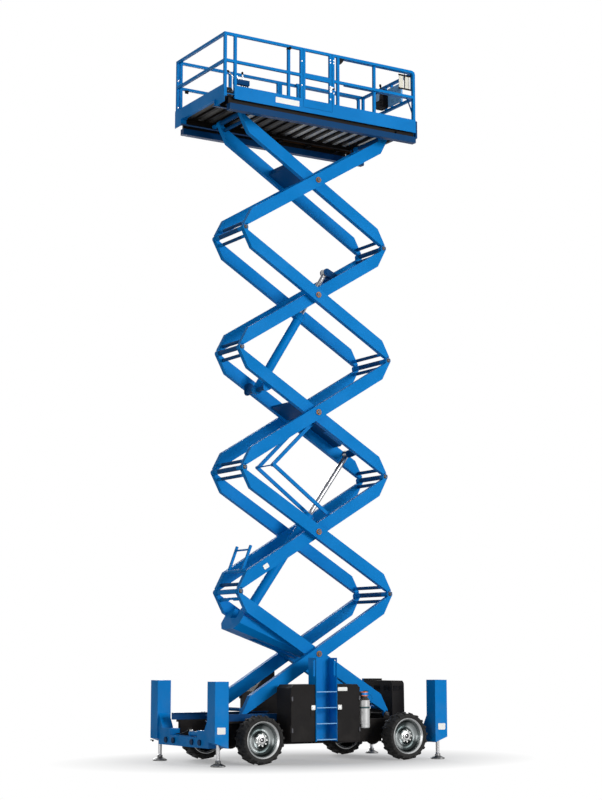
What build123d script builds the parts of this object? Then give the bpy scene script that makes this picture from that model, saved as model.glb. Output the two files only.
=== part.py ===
"""Rough-terrain scissor lift, parked with its lift part raised and its four jacks down.

X runs forwards (to the steered end), Y to the machine's left, Z up; millimetres.
The origin is on the floor, in the middle of the machine.
"""
from build123d import *
from math import asin, atan2, cos, degrees, radians, sin, sqrt
import os

os.makedirs("parts", exist_ok=True)

# ---- Driving dimensions ------------------------------------------------------------------
# Overall
machine_length = 4570
machine_width = 2300
running_clearance = 0.5
seat_gap = 0.3

# Scissor arms: beams with offset end pins, so that the folded arms lie flat on each other
level_count = 5
level_rise = 2079
arm_pin_span = 3600
arm_pin_offset = 125
arm_depth = 216
arm_thickness = 100
arm_taper_length = 290
fixed_pin_x = 1510
base_pin_z = 755
outer_gauge = 510
inner_gauge = 390
boss_radius = 52
elbow_clearance_radius = 66
elbow_pin_radius = 25
ear_thickness = 20
tongue_thickness = 50
elbow_tube_radius = 42
tie_tube_radius = 30
tie_tube_back = 120
tie_tube_down = 70
centre_pin_radius = 35
centre_collar_radius = 62
collar_thickness = 6
pin_head = 12

# Rollers of the lowest outer arms and the highest inner arms, and the tracks they run in
roller_radius = 42
roller_width = 40
roller_plane = 595
track_clearance = 3
track_thickness = 12
track_inner_face = 570
track_outer_face = 631

# Lift cylinders: barrel radius, rod radius, and the eyes at their two ends
lower_barrel_radius = 88
lower_barrel_length = 2340
lower_cylinder_closed = 2579
lower_rod_radius = 45
upper_barrel_radius = 80
upper_barrel_length = 1680
upper_cylinder_closed = 1862
upper_rod_radius = 40
cylinder_eye_radius = 72
cylinder_eye_width = 96
cylinder_pin_radius = 38
eye_ear_gap = 4

# Wheels
wheelbase = 2860
axle_centre_x = 70
tyre_radius = 405
tyre_width = 310
rim_radius = 305
wheel_outer_face = 1132
king_pin_y = 718

# Outriggers
column_length = 250
column_width = 260
column_top = 1350
column_foot_outer = 380
column_foot_inner = 290
jack_inset_x = 125
jack_inset_y = 120
jack_rod_radius = 32
jack_pad_radius = 125
jack_stroke = 300

# Side boxes
box_bottom = 360
box_top = 1290
box_inner_face = 660
box_outer_face = 1105
box_wall = 12
door_thickness = 16
door_gap = 3

# Platform
platform_rear = -2066
platform_front = 1914
platform_half_width = 914
floor_top = 11260
floor_frame_depth = 48
floor_plate = 8
floor_beam_width = 60
floor_beam_count = 19
toe_board_top = 11420
toe_board_bottom = 11180
side_band_top = 11100
side_band_bottom = 10990
rail_top = 12350
rail_tube = 48
rail_corner = 80
mid_rail_z = 11850
gate_mid_rail = 92

# ---- Derived places ----------------------------------------------------------------------
arm_half = sqrt((arm_pin_span / 2) ** 2 - arm_pin_offset**2)
pin_line_angle = degrees(asin(level_rise / arm_pin_span))
beam_angle = pin_line_angle - degrees(atan2(arm_pin_offset, arm_half))
lift_centre_x = fixed_pin_x - arm_pin_span / 2 * cos(radians(pin_line_angle))
roller_x = 2 * lift_centre_x - fixed_pin_x
top_pin_z = base_pin_z + level_count * level_rise
axle_rear_x = axle_centre_x - wheelbase / 2
axle_front_x = axle_centre_x + wheelbase / 2
jack_centre_x = machine_length / 2 - jack_inset_x
jack_centre_y = machine_width / 2 - jack_inset_y
wheel_centre_y = wheel_outer_face - tyre_width / 2

RISING = 1       # an arm that climbs towards the front
FALLING = -1     # an arm that climbs towards the rear


def finish(piece, name):
    """Name a finished piece and write it."""
    piece.label = name
    export_step(piece, f"parts/{name}.step")


def arm_plane(level, lean):
    """Side plane of an arm: origin at its centre pin, first axis up along the beam."""
    angle = radians(beam_angle)
    centre = (lift_centre_x, 0, base_pin_z + (level - 0.5) * level_rise)
    return Plane(origin=centre, x_dir=(lean * cos(angle), 0, sin(angle)), z_dir=(0, -lean, 0))


def across(plane, along, up, aside=0):
    """Place on an arm's side plane, for a piece whose axis lies across the machine."""
    return plane.location * Pos(along, up, aside)


# ---- Arm outline -------------------------------------------------------------------------
# The end is drawn about its pin: a slanted taper on the far side, a rounded boss round the pin.
taper_far = (-arm_taper_length, -arm_pin_offset - arm_depth / 2)
taper_near = (-arm_taper_length, -arm_pin_offset + arm_depth / 2)
shoulder = (-boss_radius - 10, -arm_pin_offset + arm_depth / 2)
throat = (-boss_radius - 10, -arm_pin_offset + 28)
with BuildSketch() as arm_end:
    with BuildLine():
        CenterArc((0, 0), boss_radius, 0, 360)
        Polyline(throat, shoulder)
    make_hull()
    with BuildLine():
        Polyline(taper_far, taper_near, shoulder, throat, close=True)
    make_face()

with BuildSketch() as arm_outline:
    Rectangle(2 * (arm_half - arm_taper_length) + 2, arm_depth)
    with Locations((arm_half, arm_pin_offset)):
        add(arm_end.sketch)
    with Locations((-arm_half, -arm_pin_offset)):
        add(arm_end.sketch, rotation=180)


def arm_frame(level, lean, gauge, top, bottom, centre_pin):
    """Two beams tied by tubes.  top and bottom are fork, tongue or roller."""
    plane = arm_plane(level, lean)
    inside = gauge - arm_thickness / 2
    outside = gauge + arm_thickness / 2
    strip = (arm_thickness - tongue_thickness) / 2
    with BuildPart() as frame:
        with BuildSketch(plane.offset(gauge), plane.offset(-gauge)):
            add(arm_outline.sketch)
        extrude(amount=arm_thickness / 2, both=True)
        for end, kind in ((1, top), (-1, bottom)):
            along = end * arm_half
            up = end * arm_pin_offset
            if kind == "fork":
                with Locations(*[across(plane, along, up, side * gauge) for side in (1, -1)]):
                    Cylinder(elbow_clearance_radius, arm_thickness - 2 * ear_thickness,
                             mode=Mode.SUBTRACT)
                with Locations(across(plane, along, up)):
                    Cylinder(elbow_pin_radius, 2 * (outside + pin_head / 2))
                    Cylinder(elbow_tube_radius, 2 * (inside + ear_thickness))
            if kind == "tongue":
                for side in (1, -1):
                    for face in (inside + strip / 2, outside - strip / 2):
                        with Locations(across(plane, along, up, side * face)):
                            Cylinder(elbow_clearance_radius, strip, mode=Mode.SUBTRACT)
                with Locations(across(plane, along, up)):
                    Cylinder(elbow_pin_radius + running_clearance, 2 * outside, mode=Mode.SUBTRACT)
            if kind == "roller":
                with Locations(across(plane, along, up)):
                    Cylinder(elbow_pin_radius, 2 * (roller_plane + roller_width / 2))
                    Cylinder(elbow_tube_radius, 2 * inside)
                with Locations(*[across(plane, along, up, side * roller_plane) for side in (1, -1)]):
                    Cylinder(roller_radius, roller_width)
            with Locations(across(plane, end * (arm_half - tie_tube_back),
                                  end * (arm_pin_offset - tie_tube_down))):
                Cylinder(tie_tube_radius, 2 * inside)
        if centre_pin:
            for side in (1, -1):
                inner_end = inner_gauge - arm_thickness / 2 - pin_head / 2
                outer_end = outside + pin_head
                with Locations(across(plane, 0, 0, side * (inner_end + outer_end) / 2)):
                    Cylinder(centre_pin_radius, outer_end - inner_end)
                with Locations(across(plane, 0, 0, side * (outside + collar_thickness / 2))):
                    Cylinder(centre_collar_radius, collar_thickness)
        else:
            with Locations(plane.location):
                Cylinder(centre_pin_radius + running_clearance, 2 * outside + 2, mode=Mode.SUBTRACT)
    return frame


# ---- Attachments to the arms -------------------------------------------------------------
# Places are (along the beam, above its centreline) on the arm that carries them.
lower_cylinder_base = (1305, -202)      # on inner arm 1
lower_cylinder_eye = (-1135, -39)       # on inner arm 3
upper_cylinder_base = (991, -150)       # on inner arm 3
upper_cylinder_eye = (711, 221)         # on inner arm 4
lower_eye_tube = (-1240, 70)
upper_eye_tube = (840, 60)
eye_tube_radius = 36
eye_boss_radius = 34
eye_boss_length = 14
eye_plate_radii = (68, 48)
drop_plate_thickness = 20
drop_plate_top = (991, -70)
drop_plate_radii = (58, 100)
hose_pivot_lower = (529, -25)           # on inner arm 2
hose_pivot_upper = (-131, -108)         # on inner arm 3
hose_link_gauge = 285
hose_lower_length = 1500
hose_upper_length = 1110
hose_pin_radius = 12
hose_link_width = 60
hose_link_thickness = 40
prop_gauge = 235
prop_foot = (-1495, 100)                # on inner arm 2
prop_head = (-1123, 386)
prop_tube = 40
prop_foot_radius = 28
prop_tie_radius = 16
cradle_end = 1480
cradle_end_wall = 25
cradle_wall_top = -190
cradle_mouth = 1690
cradle_pad = (900, 90, 12)
torsion_plate = (920, 50)
torsion_slot = 442
torsion_short = (390, 40)
top_arm_box = (380, 130)
cradle_slot = 2 * (lower_barrel_radius + 14)
cradle_floor = lower_cylinder_base[1] - lower_barrel_radius - 14
inner_inside = inner_gauge - arm_thickness / 2
# Ears that hold a rod's eye, each on its own stub of tube
ear = cylinder_eye_width / 2 + eye_ear_gap + ear_thickness / 2
eye_slot = 2 * ear - ear_thickness
eye_boss_aside = ear + ear_thickness / 2 + eye_boss_length / 2


def plate_pair(plane, first, second, radii, at, thickness):
    """Two rounded plates, one each side of the middle, that join two cross places."""
    with BuildPart() as pair:
        with BuildSketch(plane.offset(at), plane.offset(-at)):
            with BuildLine():
                CenterArc(first, radii[0], 0, 360)
                CenterArc(second, radii[1], 0, 360)
            make_hull()
        extrude(amount=thickness / 2, both=True)
    return pair.part


def arm_cut(plane, along, up):
    """Plane square to a beam, for the sections of a box that runs along it."""
    spot = across(plane, along, up).position
    return Plane(origin=spot, x_dir=(0, 1, 0), z_dir=plane.x_dir)


with BuildPart() as inner_arm_1:
    plane = arm_plane(1, FALLING)
    add(arm_frame(1, FALLING, inner_gauge, "fork", "tongue", False).part)
    # Tapered cradle under the beams, which holds the lower cylinder's base
    # place along the beam, height of its middle, half width, height
    for along, up, half_width, height in (
        (cradle_end, -205, inner_inside - 12, 410), (0, -20, inner_inside - 12, 150),
    ):
        with BuildSketch(arm_cut(plane, along, up)):
            with BuildLine():
                Polyline(
                    (-half_width, height * 0.22), (-half_width * 0.62, height / 2),
                    (half_width * 0.62, height / 2), (half_width, height * 0.22),
                    (half_width, -height * 0.15), (half_width * 0.45, -height / 2),
                    (-half_width * 0.45, -height / 2), (-half_width, -height * 0.15),
                    close=True,
                )
            make_face()
    loft()
    # Open above, so that the folded cylinder lies in it, and closed low down at its end; the mouth
    # notches the tie tube, which the cylinder leans over when it is raised
    for along, low in ((cradle_end - cradle_end_wall, cradle_floor), (cradle_mouth, cradle_wall_top)):
        with Locations(across(plane, along, low)):
            Box(2 * cradle_end, 600, cradle_slot, align=(Align.MAX, Align.MIN, Align.CENTER),
                mode=Mode.SUBTRACT)
    with Locations(across(plane, *lower_cylinder_base)):
        Cylinder(cylinder_pin_radius, cradle_slot + 2)
    # Side pads that carry the cradle on the beams' inner faces
    pad_aside = inner_inside - cradle_pad[2] / 2
    with Locations(*[across(plane, 1000, -60, side * pad_aside) for side in (1, -1)]):
        Box(*cradle_pad)
finish(inner_arm_1.part, "inner_arm_1")

with BuildPart() as inner_arm_2:
    plane = arm_plane(2, RISING)
    add(arm_frame(2, RISING, inner_gauge, "fork", "tongue", False).part)
    # Stub pins that carry the hose links
    stub_inner = hose_link_gauge - hose_link_thickness / 2
    with Locations(*[across(plane, *hose_pivot_lower, side * (stub_inner + inner_inside) / 2)
                     for side in (1, -1)]):
        Cylinder(hose_pin_radius, inner_inside - stub_inner)
finish(inner_arm_2.part, "inner_arm_2")

with BuildPart() as inner_arm_3:
    plane = arm_plane(3, FALLING)
    add(arm_frame(3, FALLING, inner_gauge, "fork", "tongue", False).part)
    with Locations(across(plane, *lower_eye_tube)):
        Cylinder(eye_tube_radius, 2 * inner_inside)
        Cylinder(eye_tube_radius + 1, eye_slot, mode=Mode.SUBTRACT)
    add(plate_pair(plane, lower_cylinder_eye, lower_eye_tube, eye_plate_radii, ear, ear_thickness))
    with Locations(*[across(plane, *lower_cylinder_eye, side * eye_boss_aside) for side in (1, -1)]):
        Cylinder(eye_boss_radius, eye_boss_length)
    add(plate_pair(plane, upper_cylinder_base, drop_plate_top, drop_plate_radii, inner_inside - 10,
                   drop_plate_thickness))
    with Locations(across(plane, *upper_cylinder_base)):
        Cylinder(cylinder_pin_radius, 2 * (inner_inside - 10))
    # Stub pins beside the upper hose link's free ends
    stub_inner = hose_link_gauge - hose_link_thickness / 2 + 6
    with Locations(*[across(plane, *hose_pivot_upper, side * (stub_inner + inner_inside) / 2)
                     for side in (1, -1)]):
        Cylinder(hose_pin_radius, inner_inside - stub_inner)
    # Torsion plates between the beams: one below and right of the centre pin, with a slot that
    # lets the lower cylinder fold in, and a short one above it
    with Locations(across(plane, -540, 78)):
        Box(*torsion_plate, 2 * inner_inside)
    with Locations(across(plane, -780, 78)):
        Box(torsion_slot, torsion_plate[1] + 2, cradle_slot, mode=Mode.SUBTRACT)
    with Locations(across(plane, 255, -74)):
        Box(*torsion_short, 2 * inner_inside)
finish(inner_arm_3.part, "inner_arm_3")

with BuildPart() as inner_arm_4:
    plane = arm_plane(4, RISING)
    add(arm_frame(4, RISING, inner_gauge, "fork", "tongue", False).part)
    with Locations(across(plane, *upper_eye_tube)):
        Cylinder(eye_tube_radius, 2 * inner_inside)
        Cylinder(eye_tube_radius + 1, eye_slot, mode=Mode.SUBTRACT)
    add(plate_pair(plane, upper_cylinder_eye, upper_eye_tube, eye_plate_radii, ear, ear_thickness))
    with Locations(*[across(plane, *upper_cylinder_eye, side * eye_boss_aside) for side in (1, -1)]):
        Cylinder(eye_boss_radius, eye_boss_length)
finish(inner_arm_4.part, "inner_arm_4")

with BuildPart() as inner_arm_5:
    plane = arm_plane(5, FALLING)
    add(arm_frame(5, FALLING, inner_gauge, "roller", "tongue", False).part)
    with Locations(across(plane, 350, 0)):
        Box(*top_arm_box, 2 * inner_inside)
finish(inner_arm_5.part, "inner_arm_5")

for level in range(1, level_count + 1):
    lean = RISING if level % 2 else FALLING
    bottom = "roller" if level == 1 else "tongue"
    finish(arm_frame(level, lean, outer_gauge, "fork", bottom, True).part, f"outer_arm_{level}")

# ---- Lift cylinders ----------------------------------------------------------------------
# name, base arm (level, lean), base place, eye arm (level, lean), eye place,
# barrel radius, barrel length, closed length between the eyes, rod radius
cylinder_table = (
    ("lower", (1, FALLING), lower_cylinder_base, (3, FALLING), lower_cylinder_eye,
     lower_barrel_radius, lower_barrel_length, lower_cylinder_closed, lower_rod_radius),
    ("upper", (3, FALLING), upper_cylinder_base, (4, RISING), upper_cylinder_eye,
     upper_barrel_radius, upper_barrel_length, upper_cylinder_closed, upper_rod_radius),
)
cylinder_foot = 120
gland_length = 130
gland_flange = 10
rod_head_room = 45
rod_eye_radius = 66
rod_eye_bore = 34
for name, base_arm, base, eye_arm, eye, barrel_r, barrel_l, closed, rod_r in cylinder_table:
    start = across(arm_plane(*base_arm), *base).position
    end = across(arm_plane(*eye_arm), *eye).position
    span = (end - start).length
    axis = Plane(origin=start, x_dir=(0, 1, 0), z_dir=end - start)
    rod_length = closed - cylinder_foot - rod_head_room
    with BuildPart() as barrel:
        with BuildSketch(axis.offset(cylinder_eye_radius / 2)):
            Circle(barrel_r)
        extrude(amount=barrel_l - cylinder_eye_radius / 2)
        with BuildSketch(axis.offset(barrel_l - gland_length)):
            Circle(barrel_r + gland_flange)
        extrude(amount=gland_length)
        with Locations(Location(start, (90, 0, 0))):
            Cylinder(cylinder_eye_radius, cylinder_eye_width)
            Cylinder(cylinder_pin_radius + running_clearance, 3 * barrel_r, mode=Mode.SUBTRACT)
        with BuildSketch(axis.offset(cylinder_foot)):
            Circle(rod_r + running_clearance)
        extrude(amount=barrel_l, mode=Mode.SUBTRACT)
    finish(barrel.part, f"{name}_cylinder_barrel")
    with BuildPart() as rod:
        with BuildSketch(axis.offset(span - rod_length)):
            Circle(rod_r)
        extrude(amount=rod_length)
        with Locations(Location(end, (90, 0, 0))):
            Cylinder(rod_eye_radius, cylinder_eye_width)
            Cylinder(rod_eye_bore, 2 * cylinder_eye_width, mode=Mode.SUBTRACT)
    finish(rod.part, f"{name}_cylinder_rod")

# ---- Hose links and safety prop ----------------------------------------------------------
hose_start = across(arm_plane(2, RISING), *hose_pivot_lower).position
hose_end = across(arm_plane(3, FALLING), *hose_pivot_upper).position
# The knee lies behind the line between the two pivots, where the two lengths meet
chord = hose_end - hose_start
knee_along = (chord.length**2 + hose_lower_length**2 - hose_upper_length**2) / (2 * chord.length)
knee_aside = sqrt(hose_lower_length**2 - knee_along**2)
knee = (hose_start + chord.normalized() * knee_along
        + chord.cross(Vector(0, 1, 0)).normalized() * knee_aside)
side_plane = Plane(origin=(0, 0, 0), x_dir=(1, 0, 0), z_dir=(0, -1, 0))
# name, one end, other end, distance of the links from the middle
hose_table = (
    ("lower", hose_start, knee, hose_link_gauge),
    ("upper", knee, hose_end, hose_link_gauge - hose_link_thickness - 1),
)
for name, first, second, gauge in hose_table:
    with BuildPart() as link:
        with BuildSketch(side_plane.offset(gauge), side_plane.offset(-gauge)):
            with BuildLine():
                CenterArc((first.X, first.Z), hose_link_width / 2, 0, 360)
                CenterArc((second.X, second.Z), hose_link_width / 2, 0, 360)
            make_hull()
        extrude(amount=hose_link_thickness / 2, both=True)
        with Locations(Location(first, (90, 0, 0))):
            Cylinder(hose_pin_radius + running_clearance, machine_width, mode=Mode.SUBTRACT)
        if name == "lower":
            # Knee rod, which ties the two sides and carries the upper link
            with Locations(Location(second, (90, 0, 0))):
                Cylinder(hose_pin_radius, 2 * (hose_link_gauge + hose_link_thickness / 2))
    finish(link.part, f"hose_link_{name}")

with BuildPart() as safety_prop:
    plane = arm_plane(2, RISING)
    lean_angle = degrees(atan2(prop_head[1] - prop_foot[1], prop_head[0] - prop_foot[0]))
    prop_length = sqrt((prop_head[0] - prop_foot[0]) ** 2 + (prop_head[1] - prop_foot[1]) ** 2)
    with Locations(*[across(plane, (prop_foot[0] + prop_head[0]) / 2, (prop_foot[1] + prop_head[1]) / 2,
                            side * prop_gauge) * Rotation(0, 0, lean_angle) for side in (1, -1)]):
        Box(prop_length, prop_tube, prop_tube)
    with Locations(across(plane, *prop_foot)):
        Cylinder(prop_foot_radius, 2 * inner_inside - 2 * seat_gap)
    with Locations(across(plane, prop_head[0] - 60, prop_head[1] - 46)):
        Cylinder(prop_tie_radius, 2 * prop_gauge)
finish(safety_prop.part, "safety_prop")

# ---- Chassis frame -----------------------------------------------------------------------
rail_outer = 560
rail_inner = 470
rail_bottom = 300
rail_frame_top = 690
rail_end_x = machine_length / 2 - column_length + 25 - seat_gap
cross_member_width = 160
cross_member_bottom = 360
cross_member_top = 550
# The side rails step up over the axles
arch_half = 190
arch_top = 480
ear_box_length = 260
ear_half = 100
box_bracket = (90, 160)
box_bracket_z = 520
ledge_bottom = 660
with BuildPart() as chassis_frame:
    with BuildSketch(side_plane.offset(rail_inner), side_plane.offset(-rail_outer)):
        with Locations((0, (rail_bottom + rail_frame_top) / 2)):
            Rectangle(2 * rail_end_x, rail_frame_top - rail_bottom)
        for axle_x in (axle_rear_x, axle_front_x):
            with Locations((axle_x, (rail_bottom + arch_top) / 2)):
                Rectangle(2 * arch_half, arch_top - rail_bottom, mode=Mode.SUBTRACT)
    extrude(amount=rail_outer - rail_inner)
    # place along the machine, top
    for cross_x, top in (
        (axle_rear_x - 420, 450), (axle_rear_x + 420, cross_member_top), (0, cross_member_top),
        (axle_front_x - 420, cross_member_top), (axle_front_x + 400, cross_member_top),
    ):
        with Locations((cross_x, 0, (top + cross_member_bottom) / 2)):
            Box(cross_member_width, 2 * rail_inner, top - cross_member_bottom)
    # Pivot ears of the lowest inner arms stand on a cross box
    with Locations((fixed_pin_x, 0, (arch_top + cross_member_top) / 2)):
        Box(ear_box_length, 2 * rail_inner, cross_member_top - arch_top)
    ear_places = [inner_inside + ear_thickness / 2, inner_inside + arm_thickness - ear_thickness / 2]
    ear_planes = [side_plane.offset(side * place) for side in (1, -1) for place in ear_places]
    with BuildSketch(*ear_planes):
        with BuildLine():
            CenterArc((fixed_pin_x, base_pin_z), boss_radius, 0, 360)
            Polyline((fixed_pin_x - ear_half, cross_member_top), (fixed_pin_x + ear_half, cross_member_top))
        make_hull()
    extrude(amount=ear_thickness / 2, both=True)
    with Locations(Location((fixed_pin_x, 0, base_pin_z), (90, 0, 0))):
        Cylinder(elbow_pin_radius, 2 * (inner_inside + arm_thickness + pin_head / 2))
    # Outriggers from the rails to the side boxes
    for bracket_x in (-700, 350):
        bracket_y = (rail_outer + box_inner_face) / 2
        with Locations(*[(bracket_x, side * bracket_y, box_bracket_z) for side in (1, -1)]):
            Box(box_bracket[0], box_inner_face - rail_outer, box_bracket[1])
    # Ledges that the roller tracks stand on
    ledge_start = -rail_end_x
    ledge_end = -290
    ledge_top = base_pin_z - roller_radius - track_clearance - track_thickness
    with Locations(*[((ledge_start + ledge_end) / 2, side * (rail_outer + track_outer_face) / 2,
                      (ledge_top + ledge_bottom) / 2) for side in (1, -1)]):
        Box(ledge_end - ledge_start, track_outer_face - rail_outer, ledge_top - ledge_bottom)
finish(chassis_frame.part, "chassis_frame")


def channel(start_x, end_x, pin_z):
    """Pair of tracks, open towards the middle, for rollers at the given height."""
    half = roller_radius + track_clearance
    with BuildPart() as pair:
        with BuildSketch(Plane(origin=(start_x, 0, 0), x_dir=(0, 1, 0), z_dir=(1, 0, 0))):
            for side in (1, -1):
                middle = side * (track_inner_face + track_outer_face) / 2
                with Locations((middle, pin_z)):
                    Rectangle(track_outer_face - track_inner_face, 2 * (half + track_thickness))
                with Locations((middle - side * track_thickness / 2, pin_z)):
                    Rectangle(track_outer_face - track_inner_face - track_thickness, 2 * half,
                              mode=Mode.SUBTRACT)
        extrude(amount=end_x - start_x)
    return pair.part


chassis_track_rear = -2150
finish(channel(chassis_track_rear, ledge_end, base_pin_z), "chassis_roller_tracks")

# ---- Outriggers --------------------------------------------------------------------------
column_outer_x = machine_length / 2
column_outer_y = machine_width / 2
beam_bottom = 285
beam_top = 450
foot_step_z = 560
foot_flare_z = 800
beam_boss_radius = 48
beam_boss_length = 30
beam_boss_z = 370
for name, end in (("rear", -1), ("front", 1)):
    with BuildPart() as outrigger:
        middle_x = end * (column_outer_x - column_length / 2)
        # Columns with a foot cut on the slant
        for side in (1, -1):
            with BuildSketch(side_plane.offset(-side * (column_outer_y - column_width / 2))):
                with BuildLine():
                    Polyline(
                        (end * column_outer_x, column_top),
                        (end * column_outer_x, column_foot_outer),
                        (end * (column_outer_x - column_length), column_foot_inner),
                        (end * (column_outer_x - column_length), column_top),
                        close=True,
                    )
                make_face()
            extrude(amount=column_width / 2, both=True)
        # Beam with flared ends that joins the columns
        inner_y = column_outer_y - column_width
        with BuildSketch(Plane(origin=(middle_x, 0, 0), x_dir=(0, 1, 0), z_dir=(1, 0, 0))):
            with BuildLine():
                Polyline(
                    (-inner_y, foot_flare_z), (-inner_y + 150, foot_step_z), (-inner_y + 400, foot_step_z),
                    (-inner_y + 400, beam_top), (inner_y - 400, beam_top), (inner_y - 400, foot_step_z),
                    (inner_y - 150, foot_step_z), (inner_y, foot_flare_z), (inner_y, beam_bottom),
                    (-inner_y, beam_bottom), close=True,
                )
            make_face()
        extrude(amount=column_length / 2 - 25, both=True)
        # Bosses along the beam's outer face
        with Locations(*[Location((end * (column_outer_x - beam_boss_length / 2), y, beam_boss_z), (0, 90, 0))
                         for y in (-600, -330, 330, 600)]):
            Cylinder(beam_boss_radius, beam_boss_length)
        # Bores for the jack legs
        with Locations(*[(end * jack_centre_x, side * jack_centre_y, (column_top - 60) / 2)
                         for side in (1, -1)]):
            Cylinder(jack_rod_radius + running_clearance, column_top - 60, mode=Mode.SUBTRACT)
    finish(outrigger.part, f"{name}_outrigger_frame")

rod_in_column = 950
for end_name, end in (("rear", -1), ("front", 1)):
    for side_name, side in (("left", 1), ("right", -1)):
        with BuildPart() as jack:
            with BuildSketch(Plane.XZ):
                with BuildLine():
                    Polyline(
                        (0, 0), (jack_pad_radius - 12, 0), (jack_pad_radius, 12), (jack_pad_radius - 4, 22),
                        (60, 52), (46, 60), (46, 95), (jack_rod_radius, 105),
                        (jack_rod_radius, rod_in_column), (0, rod_in_column), close=True,
                    )
                make_face()
            revolve(axis=Axis.Z)
        leg = Pos(end * jack_centre_x, side * jack_centre_y, 0) * jack.part
        finish(leg, f"{end_name}_{side_name}_jack")

# ---- Axles, knuckles and wheels ----------------------------------------------------------
axle_tube_radius = 74
axle_end_y = 655
differential_radius = 128
spindle_radius = 40
spindle_end_y = 995
hub_flange_radius = 110
axle_pad_half = 85
yoke_half = 60
yoke_plate = 25
yoke_low = 300
yoke_high = 510
king_pin_radius = 22
knuckle_radius = 55
swivel_gap = 5


def cross_axis(x, y, z):
    """Place for a piece whose axis lies across the machine."""
    return Location((x, y, z), (90, 0, 0))


def axle_beam(axle_x, half_length):
    """Axle tube with its differential and the pads that seat it under the side rails."""
    with BuildPart() as beam:
        with Locations(cross_axis(axle_x, 0, tyre_radius)):
            Cylinder(axle_tube_radius, 2 * half_length)
        with Locations((axle_x, 0, arch_top - differential_radius - 5)):
            Sphere(differential_radius)
        for side in (1, -1):
            with Locations((axle_x, side * (rail_inner + rail_outer) / 2, (tyre_radius + arch_top) / 2)):
                Box(2 * axle_pad_half, rail_outer - rail_inner, arch_top - tyre_radius)
    return beam.part


with BuildPart() as rear_axle:
    add(axle_beam(axle_rear_x, axle_end_y + 120))
    for side in (1, -1):
        with Locations(cross_axis(axle_rear_x, side * (axle_end_y + 130), tyre_radius)):
            Cylinder(hub_flange_radius, 40)
        with Locations(cross_axis(axle_rear_x, side * (axle_end_y + spindle_end_y) / 2, tyre_radius)):
            Cylinder(spindle_radius, spindle_end_y - axle_end_y)
finish(rear_axle.part, "rear_axle")

with BuildPart() as front_axle:
    add(axle_beam(axle_front_x, axle_end_y - 15))
    for side in (1, -1):
        with Locations((axle_front_x, side * (axle_end_y - 12), tyre_radius)):
            Box(2 * yoke_half, 24, yoke_high - yoke_low)
        for z in (yoke_low + yoke_plate / 2, yoke_high - yoke_plate / 2):
            with Locations((axle_front_x, side * (axle_end_y + king_pin_y + yoke_half) / 2, z)):
                Box(2 * yoke_half, king_pin_y + yoke_half - axle_end_y, yoke_plate)
        with Locations((axle_front_x, side * king_pin_y, tyre_radius)):
            Cylinder(king_pin_radius + running_clearance, yoke_high, mode=Mode.SUBTRACT)
finish(front_axle.part, "front_axle")

for side_name, side in (("left", 1), ("right", -1)):
    with BuildPart() as knuckle:
        with Locations((axle_front_x, side * king_pin_y, tyre_radius)):
            Cylinder(knuckle_radius, yoke_high - yoke_low - 2 * yoke_plate - 2 * swivel_gap)
            Cylinder(king_pin_radius, yoke_high - yoke_low)
        with Locations(cross_axis(axle_front_x, side * (king_pin_y + spindle_end_y) / 2, tyre_radius)):
            Cylinder(spindle_radius, spindle_end_y - king_pin_y)
        with Locations(cross_axis(axle_front_x, side * (king_pin_y + 85), tyre_radius)):
            Cylinder(70, 20)
    finish(knuckle.part, f"{side_name}_steering_knuckle")

# Wheel sections: radius outwards, and place along the axle with the outside of the wheel positive
with BuildPart() as tyre:
    with BuildSketch(Plane.XY):
        with BuildLine():
            half = tyre_width / 2
            Polyline((rim_radius, -half + 25), (rim_radius + 35, -half), (tyre_radius - 32, -half))
            ThreePointArc((tyre_radius - 32, -half), (tyre_radius - 8, -half + 10), (tyre_radius, -half + 34))
            Line((tyre_radius, -half + 34), (tyre_radius, half - 34))
            ThreePointArc((tyre_radius, half - 34), (tyre_radius - 8, half - 10), (tyre_radius - 32, half))
            Polyline((tyre_radius - 32, half), (rim_radius + 35, half), (rim_radius, half - 25),
                     (rim_radius, -half + 25))
        make_face()
    revolve(axis=Axis.Y)

rim_wall = 14
dish_place = -20
hub_radius = 92
with BuildPart() as rim:
    with BuildSketch(Plane.XY):
        with BuildLine():
            low = -tyre_width / 2 + 28
            high = tyre_width / 2 - 28
            Polyline(
                (spindle_radius + running_clearance, dish_place - 40),
                (hub_radius, dish_place - 40), (hub_radius, dish_place - 10),
                (rim_radius - 60, dish_place + 12), (rim_radius - rim_wall - 10, dish_place - 10),
                (rim_radius - rim_wall - 10, low), (rim_radius - seat_gap, low),
                (rim_radius - seat_gap, high), (rim_radius - rim_wall, high),
                (rim_radius - rim_wall - 10, dish_place + 16), (rim_radius - 60, dish_place + 34),
                (hub_radius + 14, dish_place + 14), (hub_radius, dish_place + 60),
                (hub_radius - 12, dish_place + 120), (hub_radius - 34, dish_place + 132),
                (0, dish_place + 132), (0, dish_place + 60),
                (spindle_radius + running_clearance, dish_place + 60), close=True,
            )
        make_face()
    revolve(axis=Axis.Y)

for end_name, axle_x in (("rear", axle_rear_x), ("front", axle_front_x)):
    for side_name, side in (("left", 1), ("right", -1)):
        turn = 0 if side > 0 else 180
        place = Location((axle_x, side * wheel_centre_y, tyre_radius), (0, 0, turn))
        finish(place * tyre.part, f"{end_name}_{side_name}_tyre")
        finish(place * rim.part, f"{end_name}_{side_name}_rim")

# ---- Side boxes, doors and ladder --------------------------------------------------------
box_rear_x = -850
box_front_x = 500
ladder_rear_x = -380
ladder_front_x = 30
ladder_back_y = 900
ladder_front_y = 1150
ladder_wall = 8
ladder_top = 1730
box_corner = 55
hinge_radius = 9
hinge_knuckle = 70
hinge_gap = 0.4
hinge_y = box_outer_face + door_gap + door_thickness + 2


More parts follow.
